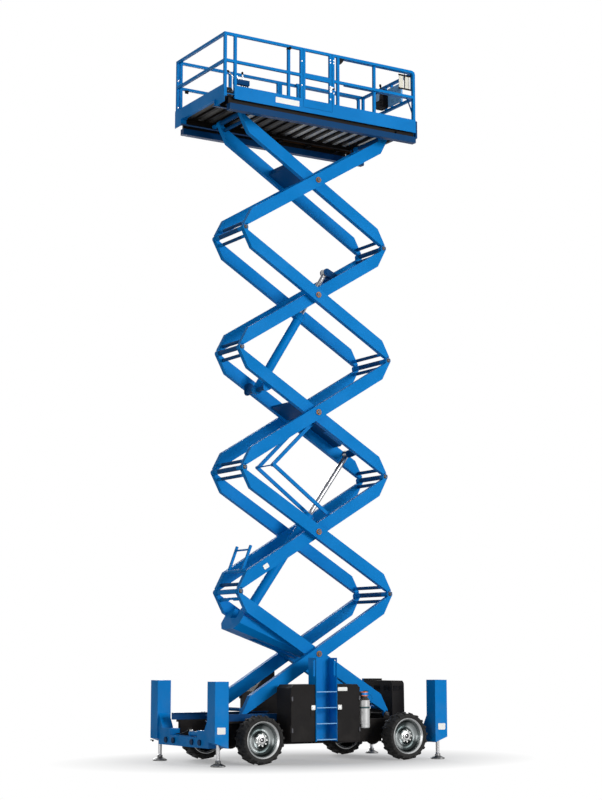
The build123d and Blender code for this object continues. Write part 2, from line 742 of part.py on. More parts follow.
def side_outline(first_x, last_x, low, high, corner_first, corner_last):
    """Face of a box seen from the side, with its upper corners cut."""
    with BuildSketch() as outline:
        with Locations(((first_x + last_x) / 2, (low + high) / 2)):
            Rectangle(last_x - first_x, high - low)
        upper = outline.vertices().group_by(Axis.Y)[-1].sort_by(Axis.X)
        if corner_first:
            chamfer(upper[0], corner_first)
        if corner_last:
            chamfer(outline.vertices().group_by(Axis.Y)[-1].sort_by(Axis.X)[-1], corner_last)
    return outline.sketch


def hinge_knuckles(x, y, z_places, offset):
    """Stacked hinge barrels; offset picks the box's or the door's half of each pair."""
    with BuildPart() as barrels:
        with Locations(*[(x, y, z + offset * (hinge_knuckle + hinge_gap) / 2) for z in z_places]):
            Cylinder(hinge_radius, hinge_knuckle)
    return barrels.part


hinge_levels = (560, 1090)
with BuildPart() as right_side_box:
    with BuildSketch(side_plane.offset(box_inner_face)):
        add(side_outline(box_rear_x, box_front_x, box_bottom, box_top, box_corner, box_corner))
    extrude(amount=box_outer_face - box_inner_face)
    # Recess for the ladder
    with Locations(((ladder_rear_x + ladder_front_x) / 2, -(ladder_back_y + box_outer_face + 50) / 2, 900)):
        Box(ladder_front_x - ladder_rear_x + 2 * seat_gap, box_outer_face + 50 - ladder_back_y, 2000,
            mode=Mode.SUBTRACT)
    # Two compartments, open where the doors close them
    for first_x, last_x, cut_first, cut_last in (
        (box_rear_x, ladder_rear_x - seat_gap, box_corner, 0),
        (ladder_front_x + seat_gap, box_front_x, 0, box_corner),
    ):
        with BuildSketch(side_plane.offset(box_inner_face + box_wall)):
            add(side_outline(first_x + box_wall, last_x - box_wall, box_bottom + box_wall,
                             box_top - box_wall, cut_first, cut_last))
        extrude(amount=box_outer_face - box_inner_face, mode=Mode.SUBTRACT)
    for hinge_x, inward in ((box_rear_x - hinge_radius - 1, 1), (box_front_x + hinge_radius + 1, -1)):
        add(hinge_knuckles(hinge_x, -hinge_y, hinge_levels, -1))
        for z in hinge_levels:
            with Locations((hinge_x + inward * 2, -(hinge_y - 20.5), z - (hinge_knuckle + hinge_gap) / 2)):
                Box(16, 41, hinge_knuckle)
finish(right_side_box.part, "right_side_box")

# name, rear edge, front edge, corner cuts, hinge x
door_table = (
    ("right_rear_door", box_rear_x, ladder_rear_x - 4, box_corner, 0, box_rear_x - hinge_radius - 1, 1),
    ("right_front_door", ladder_front_x + 4, box_front_x, 0, box_corner, box_front_x + hinge_radius + 1, -1),
)
for name, first_x, last_x, cut_first, cut_last, hinge_x, inward in door_table:
    with BuildPart() as door:
        with BuildSketch(side_plane.offset(box_outer_face + door_gap)):
            add(side_outline(first_x, last_x, box_bottom, box_top, cut_first, cut_last))
        extrude(amount=door_thickness)
        chamfer(door.faces().sort_by(Axis.Y)[0].edges(), 5)
        add(hinge_knuckles(hinge_x, -hinge_y, hinge_levels, 1))
        for z in hinge_levels:
            with Locations((hinge_x + inward * 14, -(hinge_y - 8), z + (hinge_knuckle + hinge_gap) / 2)):
                Box(28, 12, hinge_knuckle)
        latch_x = first_x + 60 if inward < 0 else last_x - 60
        with Locations((latch_x, -(box_outer_face + door_gap + door_thickness + 3), 830)):
            Box(60, 6, 120)
    finish(door.part, name)

engine_box_rear_x = -550
engine_box_front_x = 880
engine_box_top = 1260
engine_hood_top = 1500
engine_door_front_x = 420
engine_size = (720, 330, 600)
with BuildPart() as engine_box:
    with BuildSketch(side_plane.offset(-box_outer_face)):
        with BuildLine():
            Polyline(
                (engine_box_rear_x, box_bottom), (engine_box_front_x, box_bottom),
                (engine_box_front_x, engine_box_top - box_corner),
                (engine_box_front_x - box_corner, engine_box_top), (-110, engine_box_top),
                (-120, engine_hood_top), (-250, engine_hood_top - 20), (engine_box_rear_x, 1150), close=True,
            )
        make_face()
    extrude(amount=box_outer_face - box_inner_face)
    with BuildSketch(side_plane.offset(-box_outer_face - 1)):
        add(side_outline(engine_box_rear_x + box_wall, engine_door_front_x - box_wall, box_bottom + box_wall,
                         1120, 0, 0))
    extrude(amount=box_outer_face - box_inner_face - box_wall + 1, mode=Mode.SUBTRACT)
    add(hinge_knuckles(engine_box_rear_x - hinge_radius - 1, hinge_y, hinge_levels, -1))
    for z in hinge_levels:
        with Locations((engine_box_rear_x - 8, hinge_y - 20.5, z - (hinge_knuckle + hinge_gap) / 2)):
            Box(16, 41, hinge_knuckle)
finish(engine_box.part, "engine_box")

with BuildPart() as engine_door:
    with BuildSketch(side_plane.offset(-(box_outer_face + door_gap + door_thickness))):
        add(side_outline(engine_box_rear_x, engine_door_front_x, box_bottom, 1140, 0, 0))
    extrude(amount=door_thickness)
    chamfer(engine_door.faces().sort_by(Axis.Y)[-1].edges(), 5)
    add(hinge_knuckles(engine_box_rear_x - hinge_radius - 1, hinge_y, hinge_levels, 1))
    for z in hinge_levels:
        with Locations((engine_box_rear_x + 4, hinge_y - 8, z + (hinge_knuckle + hinge_gap) / 2)):
            Box(28, 12, hinge_knuckle)
    with Locations((engine_door_front_x - 60, box_outer_face + door_gap + door_thickness + 3, 830)):
        Box(60, 6, 120)
finish(engine_door.part, "engine_door")

with BuildPart() as engine:
    with Locations((-80, 860, box_bottom + box_wall)):
        Box(*engine_size, align=(Align.CENTER, Align.CENTER, Align.MIN))
finish(engine.part, "engine_block")

hood_rear_x = 1625
hood_front_x = 1880
hood_right_y = -430
hood_left_y = 460
hood_step_y = 260
hood_top = 1330
hood_step = 30
with BuildPart() as end_hood:
    with BuildSketch(Plane(origin=(hood_rear_x, 0, 0), x_dir=(0, 1, 0), z_dir=(1, 0, 0))):
        with BuildLine():
            Polyline(
                (hood_right_y - 15, cross_member_top), (hood_left_y, cross_member_top),
                (hood_left_y, hood_top + hood_step), (hood_step_y, hood_top + hood_step),
                (hood_step_y, hood_top), (hood_right_y + 45, hood_top), (hood_right_y, hood_top - 45),
                close=True,
            )
        make_face()
    extrude(amount=hood_front_x - hood_rear_x)
finish(end_hood.part, "end_hood")

ladder_middle_x = (ladder_rear_x + ladder_front_x) / 2
ladder_rungs = 4
rung_pitch = 260
first_rung = 390
rung_depth = 60
rung_thickness = 16
hand_hold_z = 1560
hand_hold_length = 280
hand_hold_width = 50
with BuildPart() as ladder:
    with BuildSketch(Plane.XY.offset(box_bottom)):
        with Locations((ladder_middle_x, -(ladder_back_y + ladder_front_y) / 2)):
            Rectangle(ladder_front_x - ladder_rear_x, ladder_front_y - ladder_back_y)
        with Locations((ladder_middle_x, -(ladder_back_y + ladder_wall + ladder_front_y + 50) / 2)):
            Rectangle(ladder_front_x - ladder_rear_x - 2 * ladder_wall,
                      ladder_front_y + 50 - ladder_back_y - ladder_wall, mode=Mode.SUBTRACT)
    extrude(amount=ladder_top - box_bottom)
    # Hand holds through the side walls
    with BuildSketch(Plane(origin=(ladder_middle_x, -(ladder_front_y - 65), hand_hold_z),
                           x_dir=(0, 0, 1), z_dir=(1, 0, 0))):
        SlotOverall(hand_hold_length, hand_hold_width)
    extrude(amount=ladder_front_x - ladder_rear_x, both=True, mode=Mode.SUBTRACT)
    with Locations(*[(ladder_middle_x, -(ladder_front_y - rung_depth / 2), first_rung + step * rung_pitch)
                     for step in range(ladder_rungs)]):
        Box(ladder_front_x - ladder_rear_x - ladder_wall, rung_depth, rung_thickness)
finish(ladder.part, "ladder")

canister_radius = 104
canister_gap = 23
canister_foot = 560
canister_shoulder = 1020
canister_cap = 1165
canister_strap_z = 900
canister_x = box_front_x + canister_gap + canister_radius
canister_y = -1040
with BuildPart() as canister:
    with BuildSketch(Plane.XZ):
        with BuildLine():
            Polyline(
                (0, canister_foot), (canister_radius - 12, canister_foot),
                (canister_radius, canister_foot + 12), (canister_radius, canister_shoulder),
                (canister_radius - 28, canister_shoulder + 44), (64, canister_shoulder + 50),
                (64, canister_shoulder + 70), (76, canister_shoulder + 70), (76, canister_cap - 14),
                (62, canister_cap), (0, canister_cap), close=True,
            )
        make_face()
    revolve(axis=Axis.Z)
    with Locations((0, 0, canister_strap_z)):
        Cylinder(canister_radius + 5, 26)
    # Bracket to the side box
    with Locations((-canister_radius - canister_gap, 0, canister_strap_z)):
        Box(canister_gap + 60, 60, 60, align=(Align.MIN, Align.CENTER, Align.CENTER))
finish(Pos(canister_x, canister_y, 0) * canister.part, "canister")

# ---- Platform ----------------------------------------------------------------------------
plate_bottom = floor_top - floor_plate
deck_bottom = floor_top - floor_frame_depth
toe_thickness = 8
side_beam_outer = 850
side_beam_inner = 800
lug_thickness = 50
platform_middle_x = (platform_rear + platform_front) / 2
platform_length = platform_front - platform_rear
band_rear_x = -1950
platform_track_rear = -2100
track_top = top_pin_z + roller_radius + track_clearance + track_thickness
right_first_post = -1838
left_first_post = -1970
gate_rear_x = -458
gate_front_x = 88
gate_gap = 5
half_tube = rail_tube / 2
gate_rear_edge = gate_rear_x - half_tube
gate_front_edge = gate_front_x + half_tube


def long_box(first_x, last_x, first_y, last_y, low, high, mode=Mode.ADD):
    """Box between two places on each axis."""
    with Locations(((first_x + last_x) / 2, (first_y + last_y) / 2, (low + high) / 2)):
        Box(last_x - first_x, abs(last_y - first_y), high - low, mode=mode)


with BuildPart() as platform_deck:
    plate_y = platform_half_width - toe_thickness
    long_box(platform_rear, platform_front, -plate_y, plate_y, plate_bottom, floor_top)
    # Cross beams under the floor plate
    first_beam = platform_rear + floor_beam_width / 2
    beam_pitch = (platform_length - floor_beam_width) / (floor_beam_count - 1)
    with Locations(*[(first_beam + place * beam_pitch, 0, (deck_bottom + plate_bottom) / 2)
                     for place in range(floor_beam_count)]):
        Box(floor_beam_width, 2 * plate_y, plate_bottom - deck_bottom)
    for side in (1, -1):
        first_post = left_first_post if side > 0 else right_first_post
        long_box(first_post - half_tube, platform_front, side * plate_y, side * platform_half_width,
                 toe_board_bottom, toe_board_top)
        # Side beam with the wider band under it
        long_box(band_rear_x, platform_front, side * side_beam_inner, side * side_beam_outer,
                 side_band_top, plate_bottom)
        long_box(band_rear_x, platform_front, side * side_beam_inner, side * platform_half_width,
                 side_band_bottom, side_band_top)
    # The gate carries its own stretch of toe board
    long_box(gate_rear_edge - gate_gap, gate_front_edge + gate_gap, -platform_half_width - 1, -plate_y,
             floor_top + gate_gap, toe_board_top + 1, mode=Mode.SUBTRACT)
    long_box(platform_rear, platform_rear + toe_thickness, -platform_half_width, platform_half_width,
             side_band_top, toe_board_top)
    # Rollers pass under the end board
    roller_notch = track_outer_face + 12
    long_box(platform_rear - 1, platform_rear + toe_thickness, -roller_notch, roller_notch,
             side_band_top - 1, deck_bottom - 2, mode=Mode.SUBTRACT)
    # Short beams between the side beams and the tracks
    outrider_count = 7
    outrider_pitch = (platform_front - band_rear_x - 120) / (outrider_count - 1)
    for place in range(outrider_count):
        beam_x = band_rear_x + 60 + place * outrider_pitch
        for side in (1, -1):
            long_box(beam_x - 30, beam_x + 30, side * track_outer_face, side * side_beam_inner,
                     deck_bottom - 90, deck_bottom)
    add(channel(platform_track_rear, ledge_end, top_pin_z))
    for side in (1, -1):
        long_box(platform_rear + toe_thickness, ledge_end, side * track_inner_face,
                 side * track_outer_face, track_top, deck_bottom)
        # Front beams beside the fixed pivots of the highest outer arms
        long_box(ledge_end, platform_front, side * 570, side * 630, deck_bottom - 60, deck_bottom)
    with BuildSketch(side_plane.offset(outer_gauge), side_plane.offset(-outer_gauge)):
        with BuildLine():
            CenterArc((fixed_pin_x, top_pin_z), boss_radius, 0, 360)
            Polyline((fixed_pin_x - 90, plate_bottom), (fixed_pin_x + 90, plate_bottom))
        make_hull()
    extrude(amount=lug_thickness / 2, both=True)
    with Locations(cross_axis(fixed_pin_x, 0, top_pin_z)):
        Cylinder(elbow_pin_radius + running_clearance, 2 * platform_half_width, mode=Mode.SUBTRACT)
finish(platform_deck.part, "platform_deck")

rail_y = platform_half_width - toe_thickness - rail_tube / 2
top_rail_z = rail_top - rail_tube / 2


def rail_panel(side_y, first_x, last_x, posts, low, corner=0):
    """Guard rail along a side: top rail, middle rail and posts down to the floor."""
    with BuildPart() as panel:
        for z in (top_rail_z, mid_rail_z):
            long_box(first_x, last_x, side_y - half_tube, side_y + half_tube, z - half_tube, z + half_tube)
        for x in posts:
            long_box(x - half_tube, x + half_tube, side_y - half_tube, side_y + half_tube, low, rail_top)
        if corner:
            # The top rail bends down into the front post
            upper = panel.edges().filter_by(Axis.Y).sort_by(lambda edge: edge.center().X + edge.center().Z)
            fillet(upper[-1], corner)
            bend = Vector(last_x - half_tube, side_y, rail_top - rail_tube)
            fillet(panel.edges().filter_by(Axis.Y).sort_by_distance(bend)[0], corner - rail_tube)
    return panel.part


rear_rail_x = platform_rear + toe_thickness + half_tube
gate_post_rear = gate_rear_edge - gate_gap - 1 - half_tube
gate_post_front = gate_front_edge + gate_gap + 5 + half_tube
gate_hinge_x = (gate_rear_x + gate_post_rear) / 2
rail_inner_face = rail_y - half_tube
gate_hinge_y = -(rail_inner_face - hinge_radius - 2)
gate_hinges = (11640, 12120)
strap_depth = rail_inner_face + gate_hinge_y + 1
front_post_x = platform_front - half_tube
left_front_post = 1845


def gate_straps(first_x, last_x, offset):
    """Straps from the hinge knuckles to a tube's inner face."""
    with BuildPart() as straps:
        for z in gate_hinges:
            middle = z + offset * (hinge_knuckle + hinge_gap) / 2
            long_box(first_x, last_x, gate_hinge_y - strap_depth, gate_hinge_y,
                     middle - hinge_knuckle / 2, middle + hinge_knuckle / 2)
    return straps.part


with BuildPart() as right_rear_rail:
    add(rail_panel(-rail_y, right_first_post, gate_post_rear, (right_first_post, -770, gate_post_rear),
                   floor_top))
    add(hinge_knuckles(gate_hinge_x, gate_hinge_y, gate_hinges, -1))
    add(gate_straps(gate_hinge_x - 20, gate_hinge_x, -1))
finish(right_rear_rail.part, "right_rear_rail")
finish(rail_panel(-rail_y, gate_post_front, front_post_x, (gate_post_front, 250, front_post_x),
                  floor_top, rail_corner), "right_front_rail")
finish(rail_panel(rail_y, left_first_post, left_front_post, (left_first_post, -960, 58, 112, left_front_post),
                  floor_top, rail_corner), "left_rail")
with BuildPart() as rear_rail:
    for z in (top_rail_z, mid_rail_z):
        with Locations((rear_rail_x, 0, z)):
            Box(rail_tube, 2 * rail_y + rail_tube, rail_tube)
    with Locations(*[(rear_rail_x, side * rail_y, (floor_top + rail_top) / 2) for side in (1, -1)]):
        Box(rail_tube, rail_tube, rail_top - floor_top)
    # Short arms that close the corners with the side rails
    for side, first_post in ((1, left_first_post), (-1, right_first_post)):
        for z in (top_rail_z, mid_rail_z):
            long_box(rear_rail_x, first_post - half_tube, side * rail_y - half_tube,
                     side * rail_y + half_tube, z - half_tube, z + half_tube)
finish(rear_rail.part, "rear_rail")

with BuildPart() as platform_gate:
    gate_low = floor_top + 2 * gate_gap
    add(rail_panel(-rail_y, gate_rear_x, gate_front_x, (gate_rear_x, gate_front_x), gate_low))
    with Locations(((gate_rear_x + gate_front_x) / 2, -rail_y, mid_rail_z)):
        Box(gate_front_x - gate_rear_x, rail_tube, gate_mid_rail)
    # Its stretch of toe board
    long_box(gate_rear_edge, gate_front_edge, -platform_half_width, -rail_y, gate_low, toe_board_top)
    add(hinge_knuckles(gate_hinge_x, gate_hinge_y, gate_hinges, 1))
    add(gate_straps(gate_hinge_x + 1, gate_hinge_x + 27, 1))
finish(platform_gate.part, "platform_gate")

# ---- Roll-out deck -----------------------------------------------------------------------
extension_rear = 350
extension_front = 1950
extension_half = rail_inner_face - 6
extension_bottom = floor_top + 0.5
extension_thickness = 30
extension_rail_y = extension_half - half_tube
extension_rail_rear = 420
with BuildPart() as extension_deck:
    long_box(extension_rear, extension_front, -extension_half, extension_half, extension_bottom,
             extension_bottom + extension_thickness)
    long_box(extension_front - toe_thickness, extension_front, -extension_half, extension_half,
             extension_bottom, toe_board_top)
finish(extension_deck.part, "extension_deck")

end_x = extension_front - toe_thickness - half_tube
end_rear_face = end_x - half_tube
control_y = 51
control_z = 12062
control_width = 265
control_height = 355
control_depth = 130
panel_y = -295
panel_width = 427
panel_thickness = 20
stay_width = 30
with BuildPart() as extension_rails:
    extension_floor = extension_bottom + extension_thickness
    # side, posts
    for side, posts in ((1, (460, 1170, end_x)), (-1, (1060, end_x))):
        add(rail_panel(side * extension_rail_y, extension_rail_rear, end_x, posts, extension_floor))
    for z in (top_rail_z, mid_rail_z):
        with Locations((end_x, 0, z)):
            Box(rail_tube, 2 * extension_half, rail_tube)
    # Stays between the end rails, which carry the control box and the panel beside it
    with Locations(*[(end_x, y, (top_rail_z + mid_rail_z) / 2)
                     for y in (control_y, panel_y + 150, panel_y - 150)]):
        Box(rail_tube, stay_width, top_rail_z - mid_rail_z)
    with Locations((end_rear_face - panel_thickness / 2, panel_y, control_z)):
        Box(panel_thickness, panel_width, control_height)
finish(extension_rails.part, "extension_rails")

with BuildPart() as control_box:
    with BuildSketch(Plane(origin=(end_rear_face - seat_gap, control_y, control_z), x_dir=(0, 1, 0),
                           z_dir=(-1, 0, 0))):
        RectangleRounded(control_width, control_height, 45)
    extrude(amount=control_depth)
    chamfer(control_box.faces().sort_by(Axis.X)[0].edges(), 10)
finish(control_box.part, "control_box")
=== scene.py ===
"""Rough-terrain scissor lift: its finishes and small parts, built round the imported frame.

Lengths are in metres, +X is the machine's front, +Y its left side and +Z up.
"""

import math

import bpy
from mathutils import Matrix, Vector


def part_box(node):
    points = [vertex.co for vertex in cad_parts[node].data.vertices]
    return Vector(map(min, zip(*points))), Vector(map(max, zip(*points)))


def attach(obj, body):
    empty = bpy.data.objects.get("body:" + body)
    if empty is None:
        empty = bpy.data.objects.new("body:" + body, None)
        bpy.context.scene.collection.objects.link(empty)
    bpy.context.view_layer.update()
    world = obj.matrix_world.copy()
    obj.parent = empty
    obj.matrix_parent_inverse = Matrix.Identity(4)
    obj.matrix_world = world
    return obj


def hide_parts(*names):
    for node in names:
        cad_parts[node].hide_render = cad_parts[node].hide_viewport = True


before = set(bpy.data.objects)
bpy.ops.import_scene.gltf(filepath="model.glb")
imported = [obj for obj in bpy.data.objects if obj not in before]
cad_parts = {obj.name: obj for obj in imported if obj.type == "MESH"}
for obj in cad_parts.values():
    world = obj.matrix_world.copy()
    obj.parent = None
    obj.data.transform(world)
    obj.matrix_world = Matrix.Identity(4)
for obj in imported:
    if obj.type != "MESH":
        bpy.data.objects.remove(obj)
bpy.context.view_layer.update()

# ---- Sizes -------------------------------------------------------------------------------
LEVELS = range(1, 6)
LEVEL_RISE = 2.079
BASE_PIN_Z = 0.755
RIGHT_PIN_X = 1.51
CENTRE_X = 0.0405
LEFT_PIN_X = 2 * CENTRE_X - RIGHT_PIN_X
# An arm's end pins lie aside of its centre line, so the beam is flatter than the line between them
PIN_ASIDE = 0.125
HALF_BEAM = 1.796
ARM_SLOPE = math.atan2(LEVEL_RISE, RIGHT_PIN_X - LEFT_PIN_X) - math.atan2(PIN_ASIDE, HALF_BEAM)
INNER_FACE_Y = 0.440
OUTER_FACE_Y = 0.560
BAND_TOP = 11.1003              # the platform's navy band ends here and its boards begin
FLOOR_UNDER = 11.2532           # just above the underside of the floor plates
FLOOR_FITTING_Z = 11.262        # where the fittings on the floor end, 2 mm above it
RAIL_FACE_Y = -0.906            # outer face of the right guard rail's posts
LEAF_HEIGHTS = (0.545, 1.060)   # hinge leaves of the right doors
TYRE_RADIUS = 0.405
FOOT_TOP = 0.092                # a jack's colours change from foot to leg just above this
SIDES = (("left", 1), ("right", -1))
ENDS = (("rear", -1), ("front", 1))


# ---- Modelling helpers -------------------------------------------------------------------
def take(*pieces):
    """Selects these pieces and nothing else; the first is the active one."""
    if bpy.context.object and bpy.context.object.mode != "OBJECT":
        bpy.ops.object.mode_set(mode="OBJECT")
    bpy.ops.object.select_all(action="DESELECT")
    for piece in pieces:
        piece.select_set(True)
    bpy.context.view_layer.objects.active = pieces[0]


def settle(piece, name=None):
    """Moves the piece's place, turn and size into its mesh."""
    take(piece)
    bpy.ops.object.transform_apply(location=True, rotation=True, scale=True)
    if name:
        piece.name = name
    return piece


def stand(piece, place):
    """Puts a piece that was modelled at the origin in its place."""
    piece.matrix_world = place
    return settle(piece)


def facing(spot, direction):
    """Place whose own Z points in a direction."""
    return Matrix.Translation(spot) @ Vector(direction).to_track_quat("Z", "Y").to_matrix().to_4x4()


def rounded(piece, width, steps=2, angle=35):
    """Rounds the piece's sharp edges and smooths its curved faces."""
    take(piece)
    edge = piece.modifiers.new("Rounding", "BEVEL")
    edge.width = width
    edge.segments = steps
    edge.limit_method = "ANGLE"
    edge.angle_limit = math.radians(angle)
    bpy.ops.object.modifier_apply(modifier=edge.name)
    return smooth(piece)


def smooth(piece, angle=35):
    take(piece)
    bpy.ops.object.shade_smooth_by_angle(angle=math.radians(angle))
    return piece


def block(name, low, high):
    """A block between two corners, to be shaped further."""
    bpy.ops.object.select_all(action="DESELECT")
    middle = [(a + b) / 2 for a, b in zip(low, high)]
    size = [b - a for a, b in zip(low, high)]
    bpy.ops.mesh.primitive_cube_add(size=1, location=middle, scale=size)
    return settle(bpy.context.object, name)


def plate(name, low, high, width=0.003):
    """A plate or box with rounded edges."""
    return rounded(block(name, low, high), width)


def pick(piece, test):
    """Opens the piece for editing with the faces chosen whose centre and normal pass the test."""
    take(piece)
    bpy.ops.object.mode_set(mode="EDIT")
    bpy.ops.mesh.select_mode(type="FACE")
    bpy.ops.mesh.select_all(action="DESELECT")
    bpy.ops.object.mode_set(mode="OBJECT")
    for face in piece.data.polygons:
        face.select = test(face.center, face.normal)
    bpy.ops.object.mode_set(mode="EDIT")


def done():
    """Closes the piece that is open for editing."""
    bpy.ops.object.mode_set(mode="OBJECT")


def sink(piece, test, margin, depth):
    """Insets the chosen faces and pushes them in, or out where depth is negative."""
    pick(piece, test)
    bpy.ops.mesh.inset(thickness=margin, depth=-depth)
    done()


def turned(name, rings, sides=32, closed=False):
    """A turned shape about Z: a circle drawn out from ring to ring, (radius, height) each."""
    bpy.ops.object.select_all(action="DESELECT")
    radius, height = rings[0]
    fill = "NOTHING" if closed else "NGON"
    bpy.ops.mesh.primitive_circle_add(vertices=sides, radius=radius, location=(0, 0, height),
                                      fill_type=fill)
    piece = settle(bpy.context.object, name)
    bpy.ops.object.mode_set(mode="EDIT")
    bpy.ops.mesh.select_mode(type="VERT")
    bpy.ops.mesh.select_all(action="SELECT")
    for (radius, height), (next_radius, next_height) in zip(rings, rings[1:]):
        grow = next_radius / radius
        bpy.ops.mesh.extrude_region_move(TRANSFORM_OT_translate={"value": (0, 0, next_height - height)})
        bpy.ops.transform.resize(value=(grow, grow, 1), center_override=(0, 0, next_height))
    bpy.ops.mesh.select_all(action="SELECT")
    bpy.ops.mesh.remove_doubles(threshold=1e-6)
    bpy.ops.mesh.normals_make_consistent(inside=False)
    done()
    return smooth(piece)


def copies(piece, places):
    """Copies of a piece, each with its own mesh and moved by its place; the piece itself goes."""
    made = []
    for place in places:
        other = piece.copy()
        other.data = piece.data.copy()
        bpy.context.collection.objects.link(other)
        made.append(stand(other, place @ piece.matrix_world))
    bpy.data.objects.remove(piece)
    return made


def joined(name, pieces):
    """Joins pieces into one of that name."""
    pieces = list(pieces)
    take(*pieces)
    if len(pieces) > 1:
        bpy.ops.object.join()
    pieces[0].name = name
    return pieces[0]


def tube(name, points, radius, smoothness=3):
    """A bent tube along a few points, made from a curve and turned into a mesh."""
    curve = bpy.data.curves.new(name, "CURVE")
    curve.dimensions = "3D"
    line = curve.splines.new("NURBS")
    line.points.add(len(points) - 1)
    for knot, point in zip(line.points, points):
        knot.co = (*point, 1)
    line.use_endpoint_u = True
    line.order_u = smoothness
    line.resolution_u = 8
    curve.bevel_depth = radius
    curve.bevel_resolution = 3
    curve.use_fill_caps = True
    piece = bpy.data.objects.new(name, curve)
    bpy.context.collection.objects.link(piece)
    take(piece)
    bpy.ops.object.convert(target="MESH")
    return smooth(bpy.context.object)


def cutout(name, outline, thickness, place, round_off=0.002):
    """A plate cut to an outline, centred on its own plane and moved to its place."""
    curve = bpy.data.curves.new(name, "CURVE")
    curve.dimensions = "2D"
    curve.fill_mode = "BOTH"
    line = curve.splines.new("POLY")
    line.points.add(len(outline) - 1)
    for knot, (across, along) in zip(line.points, outline):
        knot.co = (across, along, 0, 1)
    line.use_cyclic_u = True
    curve.extrude = thickness / 2 - round_off
    curve.bevel_depth = round_off
    curve.bevel_resolution = 1
    curve.offset = -round_off
    piece = bpy.data.objects.new(name, curve)
    bpy.context.collection.objects.link(piece)
    take(piece)
    bpy.ops.object.convert(target="MESH")
    return smooth(stand(bpy.context.object, place))


def upright(x, y, z, turn=0.0):
    """Place of a plate that faces -Y: its own X runs along the machine and its own Y up."""
    stood = Matrix.Rotation(-turn, 4, "Y") @ Matrix.Rotation(math.pi / 2, 4, "X")
    return Matrix.Translation((x, y, z)) @ stood


def hexagon(name, across, height):
    """A bolt head or nut that stands on the origin."""
    piece = turned(name, (
        (across * 0.62, 0), (across * 0.62, height * 0.12), (across * 0.54, height * 0.16),
        (across * 0.54, height * 0.85), (across * 0.46, height),
    ), 6)
    return smooth(piece, 20)


def fitted(piece, finish, body):
    """Gives a finished piece its material and its body."""
    piece.data.materials.clear()
    piece.data.materials.append(finish)
    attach(piece, body)
    return piece


# ---- Finishes ----------------------------------------------------------------------------
class Finish:
    """A material under construction; patterns are laid out on Object coordinates."""

    def __init__(self, name, roughness, metallic=0.0, gloss=0.5):
        self.material = bpy.data.materials.new(name)
        self.material.use_nodes = True
        self.tree = self.material.node_tree
        self.shader = self.tree.nodes["Principled BSDF"]
        self.shader.inputs["Roughness"].default_value = roughness
        self.shader.inputs["Metallic"].default_value = metallic
        self.shader.inputs["Specular IOR Level"].default_value = gloss
        self.place = self.tree.nodes.new("ShaderNodeTexCoord").outputs["Object"]

    def feed(self, target, value):
        """Sets a socket to a number or colour, or links it to another node's output."""
        if isinstance(value, bpy.types.NodeSocket):
            self.tree.links.new(value, target)
        elif hasattr(value, "__len__") and len(value) == 3 and target.type == "RGBA":
            target.default_value = (*value, 1)
        else:
            target.default_value = value

    def node(self, kind, inputs=(), **settings):
        made = self.tree.nodes.new(kind)
        for key, value in settings.items():
            setattr(made, key, value)
        for key, value in dict(inputs).items():
            self.feed(made.inputs[key], value)
        return made

    def scaled(self, scale):
        """The place stretched along its axes, for streaks and brushed lines."""
        return self.node("ShaderNodeMapping", {"Vector": self.place, "Scale": scale}).outputs["Vector"]

    def noise(self, scale, detail=4.0, stretch=None):
        place = self.scaled(stretch) if stretch else self.place
        clouds = self.node("ShaderNodeTexNoise", {"Vector": place, "Scale": scale, "Detail": detail})
        return clouds.outputs["Fac"]

    def step(self, value, low, high, first=0.0, last=1.0):
        """Value from low..high turned into first..last, and held at the ends."""
        return self.node("ShaderNodeMapRange", {"Value": value, "From Min": low, "From Max": high,
                                                "To Min": first, "To Max": last}).outputs["Result"]

    def sums(self, operation, first, second):
        return self.node("ShaderNodeMath", {0: first, 1: second}, operation=operation).outputs["Value"]

    def axis(self, name):
        return self.node("ShaderNodeSeparateXYZ", {"Vector": self.place}).outputs[name]

    def within(self, value, low, high, soft=0.0004):
        """1 where the value lies between two numbers, 0 outside."""
        return self.sums("MULTIPLY", self.step(value, low - soft, low + soft),
                         self.step(value, high + soft, high - soft))

    def aside(self):
        """Distance from the machine's middle plane."""
        return self.sums("ABSOLUTE", self.axis("Y"), 0.0)

    def upward(self):
        """How far a face looks up, from -1 to 1."""
        normal = self.tree.nodes.new("ShaderNodeNewGeometry").outputs["Normal"]
        return self.node("ShaderNodeSeparateXYZ", {"Vector": normal}).outputs["Z"]

    def blend(self, amount, first, second):
        mix = self.node("ShaderNodeMix", {"Factor": amount}, data_type="RGBA")
        colours = [socket for socket in mix.inputs if socket.type == "RGBA"]
        self.feed(colours[0], first)
        self.feed(colours[1], second)
        return [socket for socket in mix.outputs if socket.type == "RGBA"][0]

    def relief(self, height, strength, distance=0.001):
        bump = self.node("ShaderNodeBump", {"Height": height, "Strength": strength, "Distance": distance})
        self.feed(self.shader.inputs["Normal"], bump.outputs["Normal"])

    def dirt(self, ceiling=1.3):
        """Dust on faces that look up, and mud thrown up near the ground."""
        clouds = self.step(self.noise(5.0, 8.0), 0.42, 0.68)
        settled = self.step(self.upward(), 0.35, 1.0, 0.0, 0.55)
        splashed = self.step(self.axis("Z"), ceiling, 0.1, 0.0, 0.5)
        return self.sums("MULTIPLY", clouds, self.sums("MAXIMUM", settled, splashed))

    def coloured(self, colour):
        self.feed(self.shader.inputs["Base Color"], colour)
        return self.material

    def rough(self, value):
        self.feed(self.shader.inputs["Roughness"], value)


DUST = (0.30, 0.27, 0.23)


